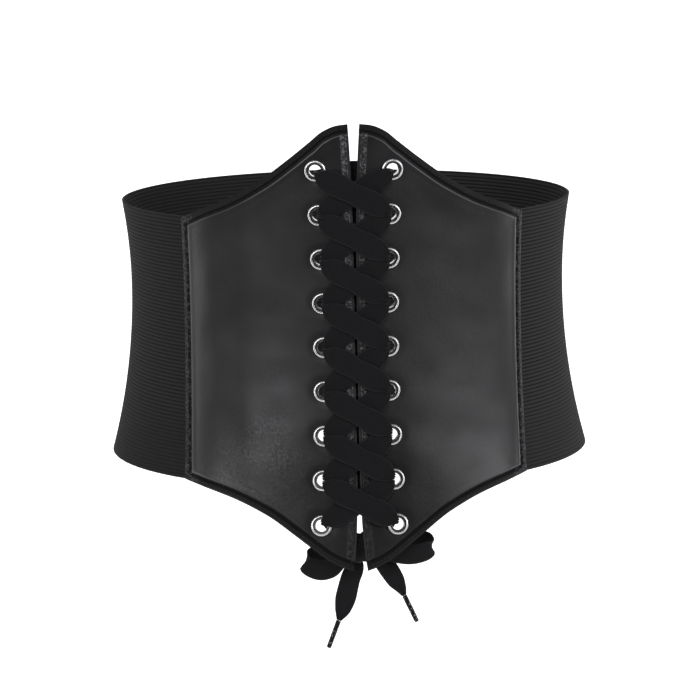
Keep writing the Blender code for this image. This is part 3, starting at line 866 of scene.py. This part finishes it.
def leather_finish():
    leather = Finish("leather", specular_ior_level=0.20, coat_roughness=0.32)
    along, slit, rim = leather.pattern()
    across, _, level = leather.split(leather.place())
    grain = leather.pebbles(1150.0) * 0.6 + leather.grain(2600.0, 3.0) * 0.4
    drift = leather.grain(22.0, 3.0, 0.55).ramp(0.35, 0.66)
    crease = leather.grain(150.0, 6.0, 0.68)
    crinkle = leather.grain(760.0, 3.0, 0.7)
    wear_and_shade = leather.near(WORN_PLACE, *WORN_REACH) * leather.grain(90.0, 3.0, 0.6).ramp(0.35, 0.6)
    # Light flecks and dark lines on the crinkles are painted glints and painted shade, mostly in the worn
    # patch.
    crinkle_glints_and_shade = crinkle.ramp(0.50, 0.64) - (1.0 - crinkle.ramp(0.36, 0.48)) * 0.5
    crinkle_glints_and_shade = crinkle_glints_and_shade * (wear_and_shade * 0.8 + drift * 0.07)
    field = rim.ramp(BORDER, BORDER + 0.8 * MM)
    # The sunken seam is darkened with painted shade, and made rougher.
    seam = rim.beside(BORDER, *SEAM_SHADE_SPREAD)
    # A thin painted highlight along the fold where the field meets the seam.
    fold_highlight = rim.beside(FOLD_HIGHLIGHT_LINE, *FOLD_HIGHLIGHT_SPREAD)
    # A thin painted highlight along the outer edge, low on the belt.
    edge_highlight = rim.beside(EDGE_HIGHLIGHT_LINE, *EDGE_HIGHLIGHT_SPREAD) * (1.0 - level.ramp(*EDGE_HIGHLIGHT_LEVEL))
    # Painted highlights lighten the puckered strip along the slit.
    hem = slit.ramp(HEM[0], HEM[0] + 0.5 * MM) * (1.0 - slit.ramp(HEM[1] - 0.3 * MM, HEM[1])) * field
    left = 1.0 - across.ramp(-0.2 * MM, 0.2 * MM)
    # Painted glints on the puckers, stronger on the left panel, where the light falls stronger.
    pucker_glints = hem * crinkle.ramp(0.48, 0.60) * (left * 0.4 + 0.75)
    welt = (1.0 - field) * abs(across).ramp(*WELT) * crinkle.ramp(0.46, 0.62)
    # Painted shade of a soft hollow on the left, with no relief under it.
    hollow_shade = across.beside(HOLLOW_SHADE_MIDDLE, *HOLLOW_SHADE_REACH) * level.ramp(*HOLLOW_SHADE_LEVEL)
    # Painted shade and less gloss towards the lower tips and in the hollow.
    shade_and_dulling = (1.0 - leather.near(TIP_SHADE_PLACE, *TIP_SHADE_REACH) * 0.78) * (1.0 - hollow_shade * 0.38)
    # Painted highlight on the fold, painted glints and shade on the crinkles, painted shade in the seam.
    shade = drift * 0.05 + field * 0.05 + fold_highlight * 0.20 + crinkle_glints_and_shade * 0.18 - seam * 0.05
    # Painted highlight and glints on the puckered strip, stronger on the left panel, and a painted highlight
    # on the lower edge.
    shade = shade + hem * (left * 0.09 + 0.03) + pucker_glints + welt * 0.4 + edge_highlight * 0.25
    pucker = (along + crinkle * 1.6 * MM).wave(PUCKER_PITCH)
    height = grain * 0.18 + crease * 0.5 + hem * pucker * 0.5
    height = height + crinkle * (drift * 0.34 + wear_and_shade * 1.1 + hem * 1.6)
    # Beside the slit the gloss is lowered as a painted shadow of the lace.
    gloss = field * (slit.ramp(*LACE_SHADOW_REACH) * 0.5 + 0.5) * (crinkle_glints_and_shade * 0.4 + 0.50) + fold_highlight * 0.3
    return leather.feed(
        base_color=leather.tone(shade * shade_and_dulling, *LEATHER_TONES), coat_weight=gloss * shade_and_dulling,
        roughness=0.62 + seam * 0.2 - field * 0.22 + grain * 0.1, normal=leather.bump(height, 0.30 * MM))


LEATHER = leather_finish()
print(LEATHER.name, "ready")

# %% [markdown]
# ## Shape of a front panel
# Each panel is a shield. Its slit edge is nearly straight, its side seam is straight, and its upper and
# lower edges sweep in smooth curves from the seam to tips beside the slit. A few rows state the curves.

# %% Outline of the panels
PANEL_WIDTH = 86.5 * MM
LAP = 9.0 * MM
LAP_RISE = 1.5 * MM
SLIT_WIDTH = 1.0 * MM
TOP_SLIT = (5.4 * MM, 3.6)
BOTTOM_SLIT = (6.7 * MM, 6.2)

# Share of the width from the slit, share of the rise above the elastic, share of the drop below it
PANEL_OUTLINE = (
    (0.00, 1.000, 1.000),
    (0.06, 0.987, 0.958),
    (0.14, 0.929, 0.878),
    (0.22, 0.815, 0.765),
    (0.33, 0.656, 0.594),
    (0.50, 0.430, 0.349),
    (0.69, 0.236, 0.173),
    (0.86, 0.110, 0.070),
    (1.00, 0.000, 0.000),
)


def slit_half(height):
    """Half of the slit between the panels at each height."""
    height = np.asarray(height, dtype=float)
    above = height > 0.0
    end_width, curve = (np.where(above, top, bottom) for top, bottom in zip(TOP_SLIT, BOTTOM_SLIT))
    reach = np.where(above, TIP_TOP, -TIP_BOTTOM)
    share = np.minimum(np.abs(height) / reach, 1.0) ** curve
    return (SLIT_WIDTH + (end_width - SLIT_WIDTH) * share) / 2


def panel_edges(share):
    """Lower and upper height of a panel at each share of its width, and the cosines of their slants."""
    shares, rises, drops = zip(*PANEL_OUTLINE)
    step = 0.005
    edges = []
    for level, tip, curve in ((ELASTIC_BOTTOM, TIP_BOTTOM, drops), (ELASTIC_TOP, TIP_TOP, rises)):
        height, ahead, behind = (
            level + (tip - level) * smooth_line(shares, curve, share + move) for move in (0.0, step, -step))
        edges += [height, np.cos(np.arctan((ahead - behind) / (2 * step * PANEL_WIDTH)))]
    return edges


def inside_edge(arc, height):
    """Distance from the slit, distance from the nearest other edge, and the place along that edge."""
    arc = np.abs(arc)
    start = slit_half(height)
    share = np.clip((arc - start) / (PANEL_WIDTH - start), 0.0, 1.0)
    lower, low_slant, upper, high_slant = panel_edges(share)
    sides = np.stack([PANEL_WIDTH - arc, (height - lower) * low_slant, (upper - height) * high_slant])
    along = np.stack([height, arc / low_slant, arc / high_slant])
    nearest = np.argmin(sides, axis=0)
    columns = np.arange(len(arc))
    rim = sides[nearest, columns]
    return arc - start, rim, np.where(arc - start < rim, height, along[nearest, columns])


print("panel", round(1000 * (TIP_TOP - TIP_BOTTOM), 1), "mm high")

# %% [markdown]
# ## Relief of the leather
# The edge of the leather is turned in and stitched down, so a rounded band runs round the panel, then a
# sunken seam, then the padded field rises again. The field is a little uneven, as worked leather is, and
# pressed down round every eyelet.

# %% Lift of the leather's face
# Bands: distance from the edge, rise and width
RIDGES = ((BORDER + 1.5 * MM, 0.35 * MM, 0.7 * MM), (BORDER + 3.5 * MM, 0.25 * MM, 4.0 * MM))
# Slow waves of the field: rise, waves in a metre and layer of the noise
SWELLS = ((0.42 * MM, 24.0, 3.1), (0.38 * MM, 60.0, 8.3))
LAP_SLOPE = (PANEL_WIDTH - LAP - 22.0 * MM, PANEL_WIDTH - LAP - 1.0 * MM)
EDGE_DROP = 0.50 * MM
EDGE_ROUNDING = 0.75 * MM
SEAM_DEPTH = 0.60 * MM
SEAM_SHAPE = (BORDER - 1.0 * MM, BORDER - 0.6 * MM, BORDER + 0.4 * MM, BORDER + 1.1 * MM)
HEM_RISE = 0.30 * MM
HEM_SHAPE = (HEM[0], HEM[0] + 0.6 * MM, HEM[1] - 0.3 * MM, HEM[1])
HEM_ENDS = (BORDER, BORDER + 1.5 * MM)
FIELD_START = (5.0 * MM, 16.0 * MM)
EYELET_DIP = 0.35 * MM
DIP_WIDTH = 1.6 * MM


def bell(distance, width):
    """A smooth bump, 1 at no distance."""
    return np.exp(-(distance / width) ** 2)


def bands(distance, table):
    """Raised and sunken bands that run along an edge."""
    return sum(rise * bell(distance - middle, width) for middle, rise, width in table)


def unevenness(arc, height, scale, seed):
    """Slow waves of worked leather, between -1 and 1."""
    return np.array([noise.noise((x * scale, y * scale, seed)) for x, y in zip(arc, height)])


def soft_step(value, low, high):
    """0 below low, 1 above high."""
    share = np.clip((value - low) / (high - low), 0.0, 1.0)
    return share * share * (3.0 - 2.0 * share)


def plateau(value, foot, top, edge, end):
    """1 from top to edge, with a soft slope on each side."""
    return soft_step(value, foot, top) * (1.0 - soft_step(value, edge, end))


def face_lift(arc, height):
    """How far the leather's outer face stands off the body."""
    slit, rim, _ = inside_edge(arc, height)
    nearest = np.minimum(slit, rim)
    out = np.abs(arc)
    lift = PANEL_FACE + LAP_RISE * soft_step(out, *LAP_SLOPE)
    lift -= EDGE_DROP * bell(nearest, EDGE_ROUNDING)
    lift -= SEAM_DEPTH * plateau(rim, *SEAM_SHAPE)
    lift += bands(rim, RIDGES)
    lift += HEM_RISE * plateau(slit, *HEM_SHAPE) * soft_step(rim, *HEM_ENDS)
    field = soft_step(nearest, *FIELD_START)
    for rise, scale, seed in SWELLS:
        lift += field * rise * unevenness(arc, height, scale, seed)
    for row in range(EYELET_ROWS):
        centre = eyelet_place(1, row)
        far = np.hypot(out - centre.x, height - centre.y)
        lift -= EYELET_DIP * bell(np.maximum(far - EYELET_RADIUS, 0.0), DIP_WIDTH)
    return lift


print("face at the middle:", face_lift(np.array([0.05]), np.array([0.0])))

# %% [markdown]
# ## Cutting the panels
# The blank is a grid whose lines crowd towards its edges, so the band and the seam come out crisp while
# the field stays light. It gets its wall and a rounded rim, punches take out the eyelet holes, and then
# it is laid round the waist.

# %% Cut and punch a panel
EDGE_STEPS = [
    step * MM for step in (0.0, 0.3, 0.8, 1.5, 2.2, 2.6, 2.8, 3.0, 3.5, 4.0, 4.35, 4.7, 5.2, 6.2, 7.8)]
FIELD_STEP = 1.5 * MM
HOLE_RADIUS = 3.6 * MM
PUNCH_LENGTH = 20.0 * MM
WALL_SHARE = 0.92


def crowded(start, end, measure, low_slant=1.0, high_slant=1.0):
    """Places from start to end, crowded towards both, as many as suit the measure."""
    low, high = ([step / slant for step in EDGE_STEPS] for slant in (low_slant, high_slant))
    field = np.linspace(start + low[-1], end - high[-1], int(measure / FIELD_STEP))
    return np.concatenate(([start + step for step in low[:-1]], field, [end - step for step in high[-2::-1]]))


def panel_blank(side):
    """The flat panel with its relief."""
    across = crowded(0.0, PANEL_WIDTH, PANEL_WIDTH) / PANEL_WIDTH
    heights = np.array([
        crowded(low, high, TIP_TOP - TIP_BOTTOM, low_slant, high_slant)
        for low, low_slant, high, high_slant in zip(*panel_edges(across))])
    bm, column, row = flat_grid(heights.shape[0] - 1, heights.shape[1] - 1)
    height = heights[column, row]
    start = slit_half(height)
    arc = side * (start + (PANEL_WIDTH - start) * across[column])
    shape(bm, np.stack([arc, height, face_lift(arc, height)], 1), side)
    return bm


def punches(side):
    """One punch for each eyelet of a panel."""
    bm = bmesh.new()
    for row in range(EYELET_ROWS):
        centre = eyelet_place(side, row)
        bmesh.ops.create_cone(
            bm, cap_ends=True, segments=32, radius1=HOLE_RADIUS, radius2=HOLE_RADIUS, depth=PUNCH_LENGTH,
            matrix=Matrix.Translation((*centre, 0.0)))
    return new_object("punches", bm, LEATHER)


def make_panel(name, side):
    """One leather panel, from blank to worn."""
    panel = new_object(name + "_leather", panel_blank(side), LEATHER)
    give_wall(panel, PANEL_WALL * WALL_SHARE)
    tool = punches(side)
    panel.modifiers.new("eyelet holes", "BOOLEAN").object = tool
    settle(panel)
    bpy.data.objects.remove(tool)
    arc, height, _ = vertex_places(panel.data).T
    slit, rim, along = inside_edge(arc, height)
    wear(panel, np.stack([along, slit, rim], 1))
    register(panel, "leather", name, crease=70.0)


make_panel("left_panel", -1)
make_panel("right_panel", 1)

# %% [markdown]
# ## Stitches
# A line of waxed thread holds the turned edge down. Every stitch is a small rounded bar of two dozen
# faces, 2 mm from the next, all the way round the panel's border.

# %% Thread finish
SIDE_SEAM_THREAD = (74.0 * MM, 79.0 * MM)
THREAD_TONES = ((0.004, 0.004, 0.0045), (0.090, 0.088, 0.092))


def thread_finish():
    thread = Finish("thread", specular_ior_level=0.25)
    ply = thread.grain(3200.0, 2.0)
    across, _, _ = thread.split(thread.place())
    # The thread is paler on the side seams.
    shade = ply.ramp(0.3, 0.7) * (abs(across).ramp(*SIDE_SEAM_THREAD) * 0.85 + 0.15)
    return thread.feed(
        base_color=thread.tone(shade, *THREAD_TONES), roughness=0.45 + ply * 0.2,
        normal=thread.bump(ply, 0.1 * MM))


THREAD = thread_finish()
print(THREAD.name, "ready")


# %% Sew round the panels
STITCH_HALF = (0.72 * MM, 0.26 * MM, 0.22 * MM)
STITCH_SLANT = 0.08
STITCH_RISE = 0.08 * MM
LOOK_AHEAD = 0.1 * MM


def even_points(line, pitch):
    """Points and directions at even steps along a dense flat line."""
    lengths = lengths_along(line)
    count = int(lengths[-1] / pitch)
    at = (np.arange(count) + 0.5) * lengths[-1] / count
    points, ahead = (
        np.stack([np.interp(at + move, lengths, line[:, axis]) for axis in (0, 1)], 1)
        for move in (0.0, LOOK_AHEAD))
    return points, ahead - points


def seam_lines(side):
    """The four flat lines that run inside a panel's edges, on its border."""
    share = np.linspace(0.0, 1.0, 400)
    lower, low_slant, upper, high_slant = panel_edges(share)
    lines = []
    for height in (lower + STITCH_LINE / low_slant, upper - STITCH_LINE / high_slant):
        start = slit_half(height)
        arc = start + (PANEL_WIDTH - start) * share
        keep = (arc > start + STITCH_LINE) & (arc < PANEL_WIDTH - STITCH_LINE)
        lines.append(np.stack([side * arc, height], 1)[keep])
    for edge in (0, -1):
        height = np.linspace(lines[0][edge, 1], lines[1][edge, 1], 300)
        arc = np.full_like(height, PANEL_WIDTH - STITCH_LINE) if edge else slit_half(height) + STITCH_LINE
        lines.append(np.stack([side * arc, height], 1))
    return lines


def sew(name, lines, lift_at):
    """Lay stitches along flat lines, on a face whose lift is given."""
    bm = bmesh.new()
    size = Matrix.Diagonal((*STITCH_HALF, 1.0))
    for line in lines:
        points, ways = even_points(line, STITCH_PITCH)
        for point, way, lift in zip(points, ways, lift_at(*points.T) + STITCH_RISE):
            turn = Matrix.Rotation(math.atan2(way[1], way[0]) + STITCH_SLANT, 4, "Z")
            place = Matrix.Translation((*point, lift)) @ turn @ size
            bmesh.ops.create_uvsphere(bm, u_segments=6, v_segments=4, radius=1.0, matrix=place)
    stitches = new_object(name, bm, THREAD)
    wear(stitches, vertex_places(stitches.data))
    register(stitches, "lace")


sew("stitches_left", seam_lines(-1), face_lift)
sew("stitches_right", seam_lines(1), face_lift)

# %% [markdown]
# ## Elastic finish
# Wide elastic is woven with covered rubber threads that stand up as level ribs, here 1.8 mm apart. The
# ribs are real relief on the mesh and lie flatter low on the belt. The finish adds the fine cross threads
# and paints light and shade across the ribs, stronger on the right, and paints the right side lighter.

# %% Ribbed elastic
RIB_PITCH = 1.8 * MM
FLAT_RIBS = (-50.0 * MM, -20.0 * MM)
THREAD_PITCH = 0.65 * MM
ELASTIC_TONES = ((0.0102, 0.0101, 0.0104), (0.0320, 0.0314, 0.0320))


def elastic_finish():
    elastic = Finish("elastic", specular_ior_level=0.06)
    along, level, _ = elastic.pattern()
    threads = along.wave(THREAD_PITCH)
    # The right side is painted lighter, as the light falls stronger there.
    right = along.ramp(-0.1 * MM, 0.1 * MM)
    # Painted light and shade across the ribs, weaker low on the belt and stronger on the right.
    ribs = (level.wave(RIB_PITCH).ramp(0.0, 0.7) - 0.5) * (level.ramp(*FLAT_RIBS) * 0.6 + 0.4)
    fuzz = elastic.grain(1500.0, 3.0, 0.6)
    shade = ribs * (right * 0.35 + 0.30) + threads * 0.2 + fuzz * 0.4 + right * 0.10 + 0.18
    return elastic.feed(
        base_color=elastic.tone(shade.ramp(0.25, 0.85), *ELASTIC_TONES),
        roughness=0.74 + elastic.grain(10.0, 2.0) * 0.14,
        normal=elastic.bump(threads * 0.4 + fuzz * 0.6, 0.16 * MM))


ELASTIC = elastic_finish()
print(ELASTIC.name, "ready")

# %% [markdown]
# ## Elastic sides
# Each side is one stretched strip of elastic from under the leather to the middle of the back. It is a
# fine grid with a wave up its height for the ribs. The first and last few millimetres are a plain woven
# edge.

# %% Weave the sides
ELASTIC_WALL = 1.2 * MM
END_GAP = 1.0 * MM
SELVEDGE = 2.4 * MM
ELASTIC_COLUMNS = 60
ROWS_PER_RIB = 6
RIB_DEPTHS = (0.06 * MM, 0.11 * MM)
RIB_FADE = 0.8 * MM
ELASTIC_SWELL = 0.25 * MM
# Waves in a metre and layer of the noise
SWELL_WAVES = (14.0, 5.7)


def rib_relief(height):
    """Height of the ribs, which end at a plain edge and lie flatter low on the belt."""
    inside = np.minimum(height - ELASTIC_BOTTOM, ELASTIC_TOP - height)
    fade = np.clip((inside - SELVEDGE) / RIB_FADE, 0.0, 1.0)
    depth = np.interp(height, FLAT_RIBS, RIB_DEPTHS)
    return fade * depth * np.sin(height * FULL_TURN / RIB_PITCH)


def half_round(height):
    """Length from the centre front to the centre back at each height."""
    return np.interp(height, LEVELS, [lengths[-1] / 2 for lengths in LEVEL_LENGTHS])


def make_elastic(name, side):
    """One strip of ribbed elastic."""
    rows = int(round(ELASTIC_HEIGHT / RIB_PITCH * ROWS_PER_RIB))
    start = PANEL_WIDTH - LAP
    bm, column, row = flat_grid(ELASTIC_COLUMNS, rows)
    height = ELASTIC_BOTTOM + ELASTIC_HEIGHT * row / rows
    arc = side * (start + (half_round(height) - END_GAP / 2 - start) * column / ELASTIC_COLUMNS)
    lift = ELASTIC_WALL + rib_relief(height) + ELASTIC_SWELL * unevenness(arc, height, *SWELL_WAVES)
    shape(bm, np.stack([arc, height, lift], 1), side)
    strip = new_object(name + "_weave", bm, ELASTIC)
    give_wall(strip, ELASTIC_WALL, rounded=False)
    settle(strip)
    wear(strip, vertex_places(strip.data))
    register(strip, "elastic", name, crease=80.0)
    ELASTIC_TOP - ELASTIC_BOTTOM


make_elastic("elastic_left", -1)
make_elastic("elastic_right", 1)

# %% [markdown]
# ## Back tab
# The two elastic ends meet at the middle of the back under a plain leather tab, stitched down each side.
# The photograph doesn't show it, so it is kept plain.

# %% Close the back
TAB_WIDTH = 32.0 * MM
TAB_WALL = 1.6 * MM
TAB_WALL_SHARE = 0.9
TAB_LIFT = 1.8 * MM
TAB_BANDS = (
    (0.0, -0.45 * MM, 0.75 * MM), (BORDER, -0.45 * MM, 0.45 * MM), (BORDER + 2.2 * MM, 0.25 * MM, 1.7 * MM))


def tab_inside(arc, height):
    """Distance from the tab's nearest edge."""
    return np.minimum.reduce([
        TAB_WIDTH / 2 - np.abs(arc - half_round(height)), height - ELASTIC_BOTTOM, ELASTIC_TOP - height])


def tab_lift(arc, height):
    """Lift of the tab's outer face."""
    return TAB_LIFT + TAB_WALL + bands(tab_inside(arc, height), TAB_BANDS)


def make_tab():
    """The tab, cut flat and laid over the meeting ends."""
    across = crowded(0.0, TAB_WIDTH, TAB_WIDTH)
    up = crowded(0.0, ELASTIC_HEIGHT, ELASTIC_HEIGHT)
    bm, column, row = flat_grid(len(across) - 1, len(up) - 1)
    height = ELASTIC_BOTTOM + up[row]
    arc = half_round(height) - TAB_WIDTH / 2 + across[column]
    shape(bm, np.stack([arc, height, tab_lift(arc, height)], 1))
    tab = new_object("back_tab", bm, LEATHER)
    give_wall(tab, TAB_WALL * TAB_WALL_SHARE)
    settle(tab)
    arc, height, _ = vertex_places(tab.data).T
    edge = tab_inside(arc, height)
    wear(tab, np.stack([height, np.full_like(edge, TAB_WIDTH), edge], 1))
    register(tab, "leather", "back_closure", crease=70.0)


def tab_seams():
    """The tab's four stitch lines."""
    height = np.linspace(ELASTIC_BOTTOM + STITCH_LINE, ELASTIC_TOP - STITCH_LINE, 300)
    reach = TAB_WIDTH / 2 - STITCH_LINE
    lines = [np.stack([half_round(height) + side * reach, height], 1) for side in (-1, 1)]
    for level in (height[0], height[-1]):
        arc = half_round(level) + np.linspace(-reach, reach, 60)
        lines.append(np.stack([arc, np.full_like(arc, level)], 1))
    return lines


make_tab()
sew("stitches_back", tab_seams(), tab_lift)

# %% [markdown]
# ## Eyelets
# An eyelet is a nickel tube with a domed rim on the leather and its other end rolled over behind. It is
# turned from one closed profile: a bright outer dome, a fine groove darkened with painted shade, and a
# narrow lip round the hole, which is darker too.

# %% Nickel finish
LIP_END = (3.10 * MM, 3.20 * MM)
GROOVE_END = (3.90 * MM, 4.05 * MM)
NICKEL_TONES = ((0.02, 0.02, 0.02), (0.84, 0.83, 0.815))


def nickel_finish():
    nickel = Finish("nickel", metallic=1.0)
    radius, _, _ = nickel.pattern()
    drift = nickel.grain(260.0, 2.0)
    past_lip = radius.ramp(*LIP_END)
    # Painted shade in the groove, and a darker lip round the hole.
    wear_and_shade = past_lip * (1.0 - radius.ramp(*GROOVE_END)) * 0.84 + (1.0 - past_lip) * 0.35
    shade = (drift.ramp(0.3, 0.75) * 0.14 + 0.86) * (1.0 - wear_and_shade)
    return nickel.feed(base_color=nickel.tone(shade, *NICKEL_TONES), roughness=0.24 + drift * 0.08)


NICKEL = nickel_finish()
print(NICKEL.name, "ready")

# %% Turn the eyelets
# Radius and height over the leather's face, in millimetres, down the outside and back up through the hole
EYELET_PROFILE = (
    (2.84, 0.10), (2.86, 0.42), (2.93, 0.58), (3.02, 0.62), (3.10, 0.56), (3.15, 0.36), (3.18, 0.00),
    (3.88, 0.00), (3.92, 0.70), (4.02, 1.05), (4.22, 1.20), (4.52, 1.12), (4.82, 0.92), (5.00, 0.70),
    (5.05, 0.42), (4.90, 0.18), (4.66, -0.05), (4.40, -0.15), (3.50, -0.15), (3.50, -2.15), (4.40, -2.15),
    (4.50, -2.45), (4.20, -2.85), (3.70, -3.00), (3.20, -2.80), (2.92, -2.40), (2.88, -1.20),
)


def make_eyelet(name, side, row):
    """One eyelet, turned and seated in its hole."""
    bm = turned([(radius * MM, height * MM) for radius, height in EYELET_PROFILE], 40, closed=True)
    note_pattern(bm, [(vertex.co.xy.length, vertex.co.z, 0.0) for vertex in bm.verts])
    set_down(bm, *on_waist(*eyelet_place(side, row), PANEL_FACE))
    register(new_object(name + "_nickel", bm, NICKEL), "eyelet_metal", name, crease=60.0)


for row in range(EYELET_ROWS):
    make_eyelet(f"eyelet_left_{row + 1}", -1, row)
    make_eyelet(f"eyelet_right_{row + 1}", 1, row)

# %% [markdown]
# ## Studio
# The belt hangs in front of a white paper sweep that glows a little, so it stays white while large soft
# lamps light the front. Black leather shows what it mirrors: the lamps draw its broad highlights, and the
# dimmer sky keeps the rest dark.

# %% Paper sweep
PAPER_TONES = ((0.88, 0.88, 0.88), (0.90, 0.90, 0.90))


def paper_finish():
    paper = Finish("paper", roughness=0.9, emission_strength=0.90)
    paper.shader.inputs["Emission Color"].default_value = (1.0, 1.0, 1.0, 1.0)
    cloud = paper.grain(3.0).ramp(0.2, 0.8)
    return paper.feed(base_color=paper.tone(cloud, *PAPER_TONES))


FLOOR_HEIGHT = -0.26
SWEEP_START = -0.25
BEND_START = 1.7
BEND_RADIUS = 0.8
SWEEP_HALF = 3.0
SWEEP_TOP = 2.0


def of_kind(items, kind):
    """The vertices or the edges of a bmesh result."""
    return [item for item in items if isinstance(item, kind)]


def sweep_of_paper():
    """A floor that bends up into a wall."""
    vertex, line = bmesh.types.BMVert, bmesh.types.BMEdge
    bm = bmesh.new()
    edge = bm.edges.new([bm.verts.new((side * SWEEP_HALF, SWEEP_START, FLOOR_HEIGHT)) for side in (-1, 1)])
    floor = bmesh.ops.extrude_edge_only(bm, edges=[edge])["geom"]
    ends = of_kind(floor, vertex)
    bmesh.ops.translate(bm, vec=(0.0, BEND_START - SWEEP_START, 0.0), verts=ends)
    bend = bmesh.ops.spin(
        bm, geom=ends + of_kind(floor, line), cent=(0.0, BEND_START, FLOOR_HEIGHT + BEND_RADIUS),
        axis=(1.0, 0.0, 0.0), angle=math.pi / 2, steps=16)["geom_last"]
    wall = bmesh.ops.extrude_edge_only(bm, edges=of_kind(bend, line))["geom"]
    bmesh.ops.translate(bm, vec=(0.0, 0.0, SWEEP_TOP), verts=of_kind(wall, vertex))
    bmesh.ops.remove_doubles(bm, verts=bm.verts, dist=0.1 * MM)
    bmesh.ops.recalc_face_normals(bm, faces=bm.faces)
    return bm


paper = new_object("paper", sweep_of_paper(), paper_finish())
paper.data.shade_smooth()
print("paper from", SWEEP_START, "m")

# %% Sky and lamps
SKY_STRENGTH = 0.16
LAMP_COLOUR = (0.985, 0.970, 1.0)

# Name, place, width and height in metres, and watts
LAMPS = (
    ("left lamp", (-0.9, -1.35, 0.42), (0.85, 0.8), 10.0),
    ("right lamp", (1.2, -1.1, 0.42), (1.0, 0.8), 11.0),
    ("left side lamp", (-1.55, -0.45, 0.1), (0.25, 1.0), 3.6),
    ("right side lamp", (1.5, 0.35, 0.1), (0.3, 1.0), 6.0),
    ("front lamp", (0.0, -1.5, 1.1), (1.0, 0.6), 4.0),
)

world = bpy.data.worlds.new("sky")
bpy.context.scene.world = world
world.use_nodes = True
sky = world.node_tree.nodes["Background"].inputs
sky["Color"].default_value = (1.0, 1.0, 1.0, 1.0)
sky["Strength"].default_value = SKY_STRENGTH

for name, place, size, power in LAMPS:
    data = bpy.data.lights.new(name, "AREA")
    data.shape = "RECTANGLE"
    data.size, data.size_y = size
    data.energy = power
    data.color = LAMP_COLOUR
    lamp = add_object(name, data)
    lamp.location = place
    lamp.rotation_euler = Vector(place).to_track_quat("Z", "Y").to_euler()

bpy.context.scene.view_settings.view_transform = "Standard"
print("studio ready")
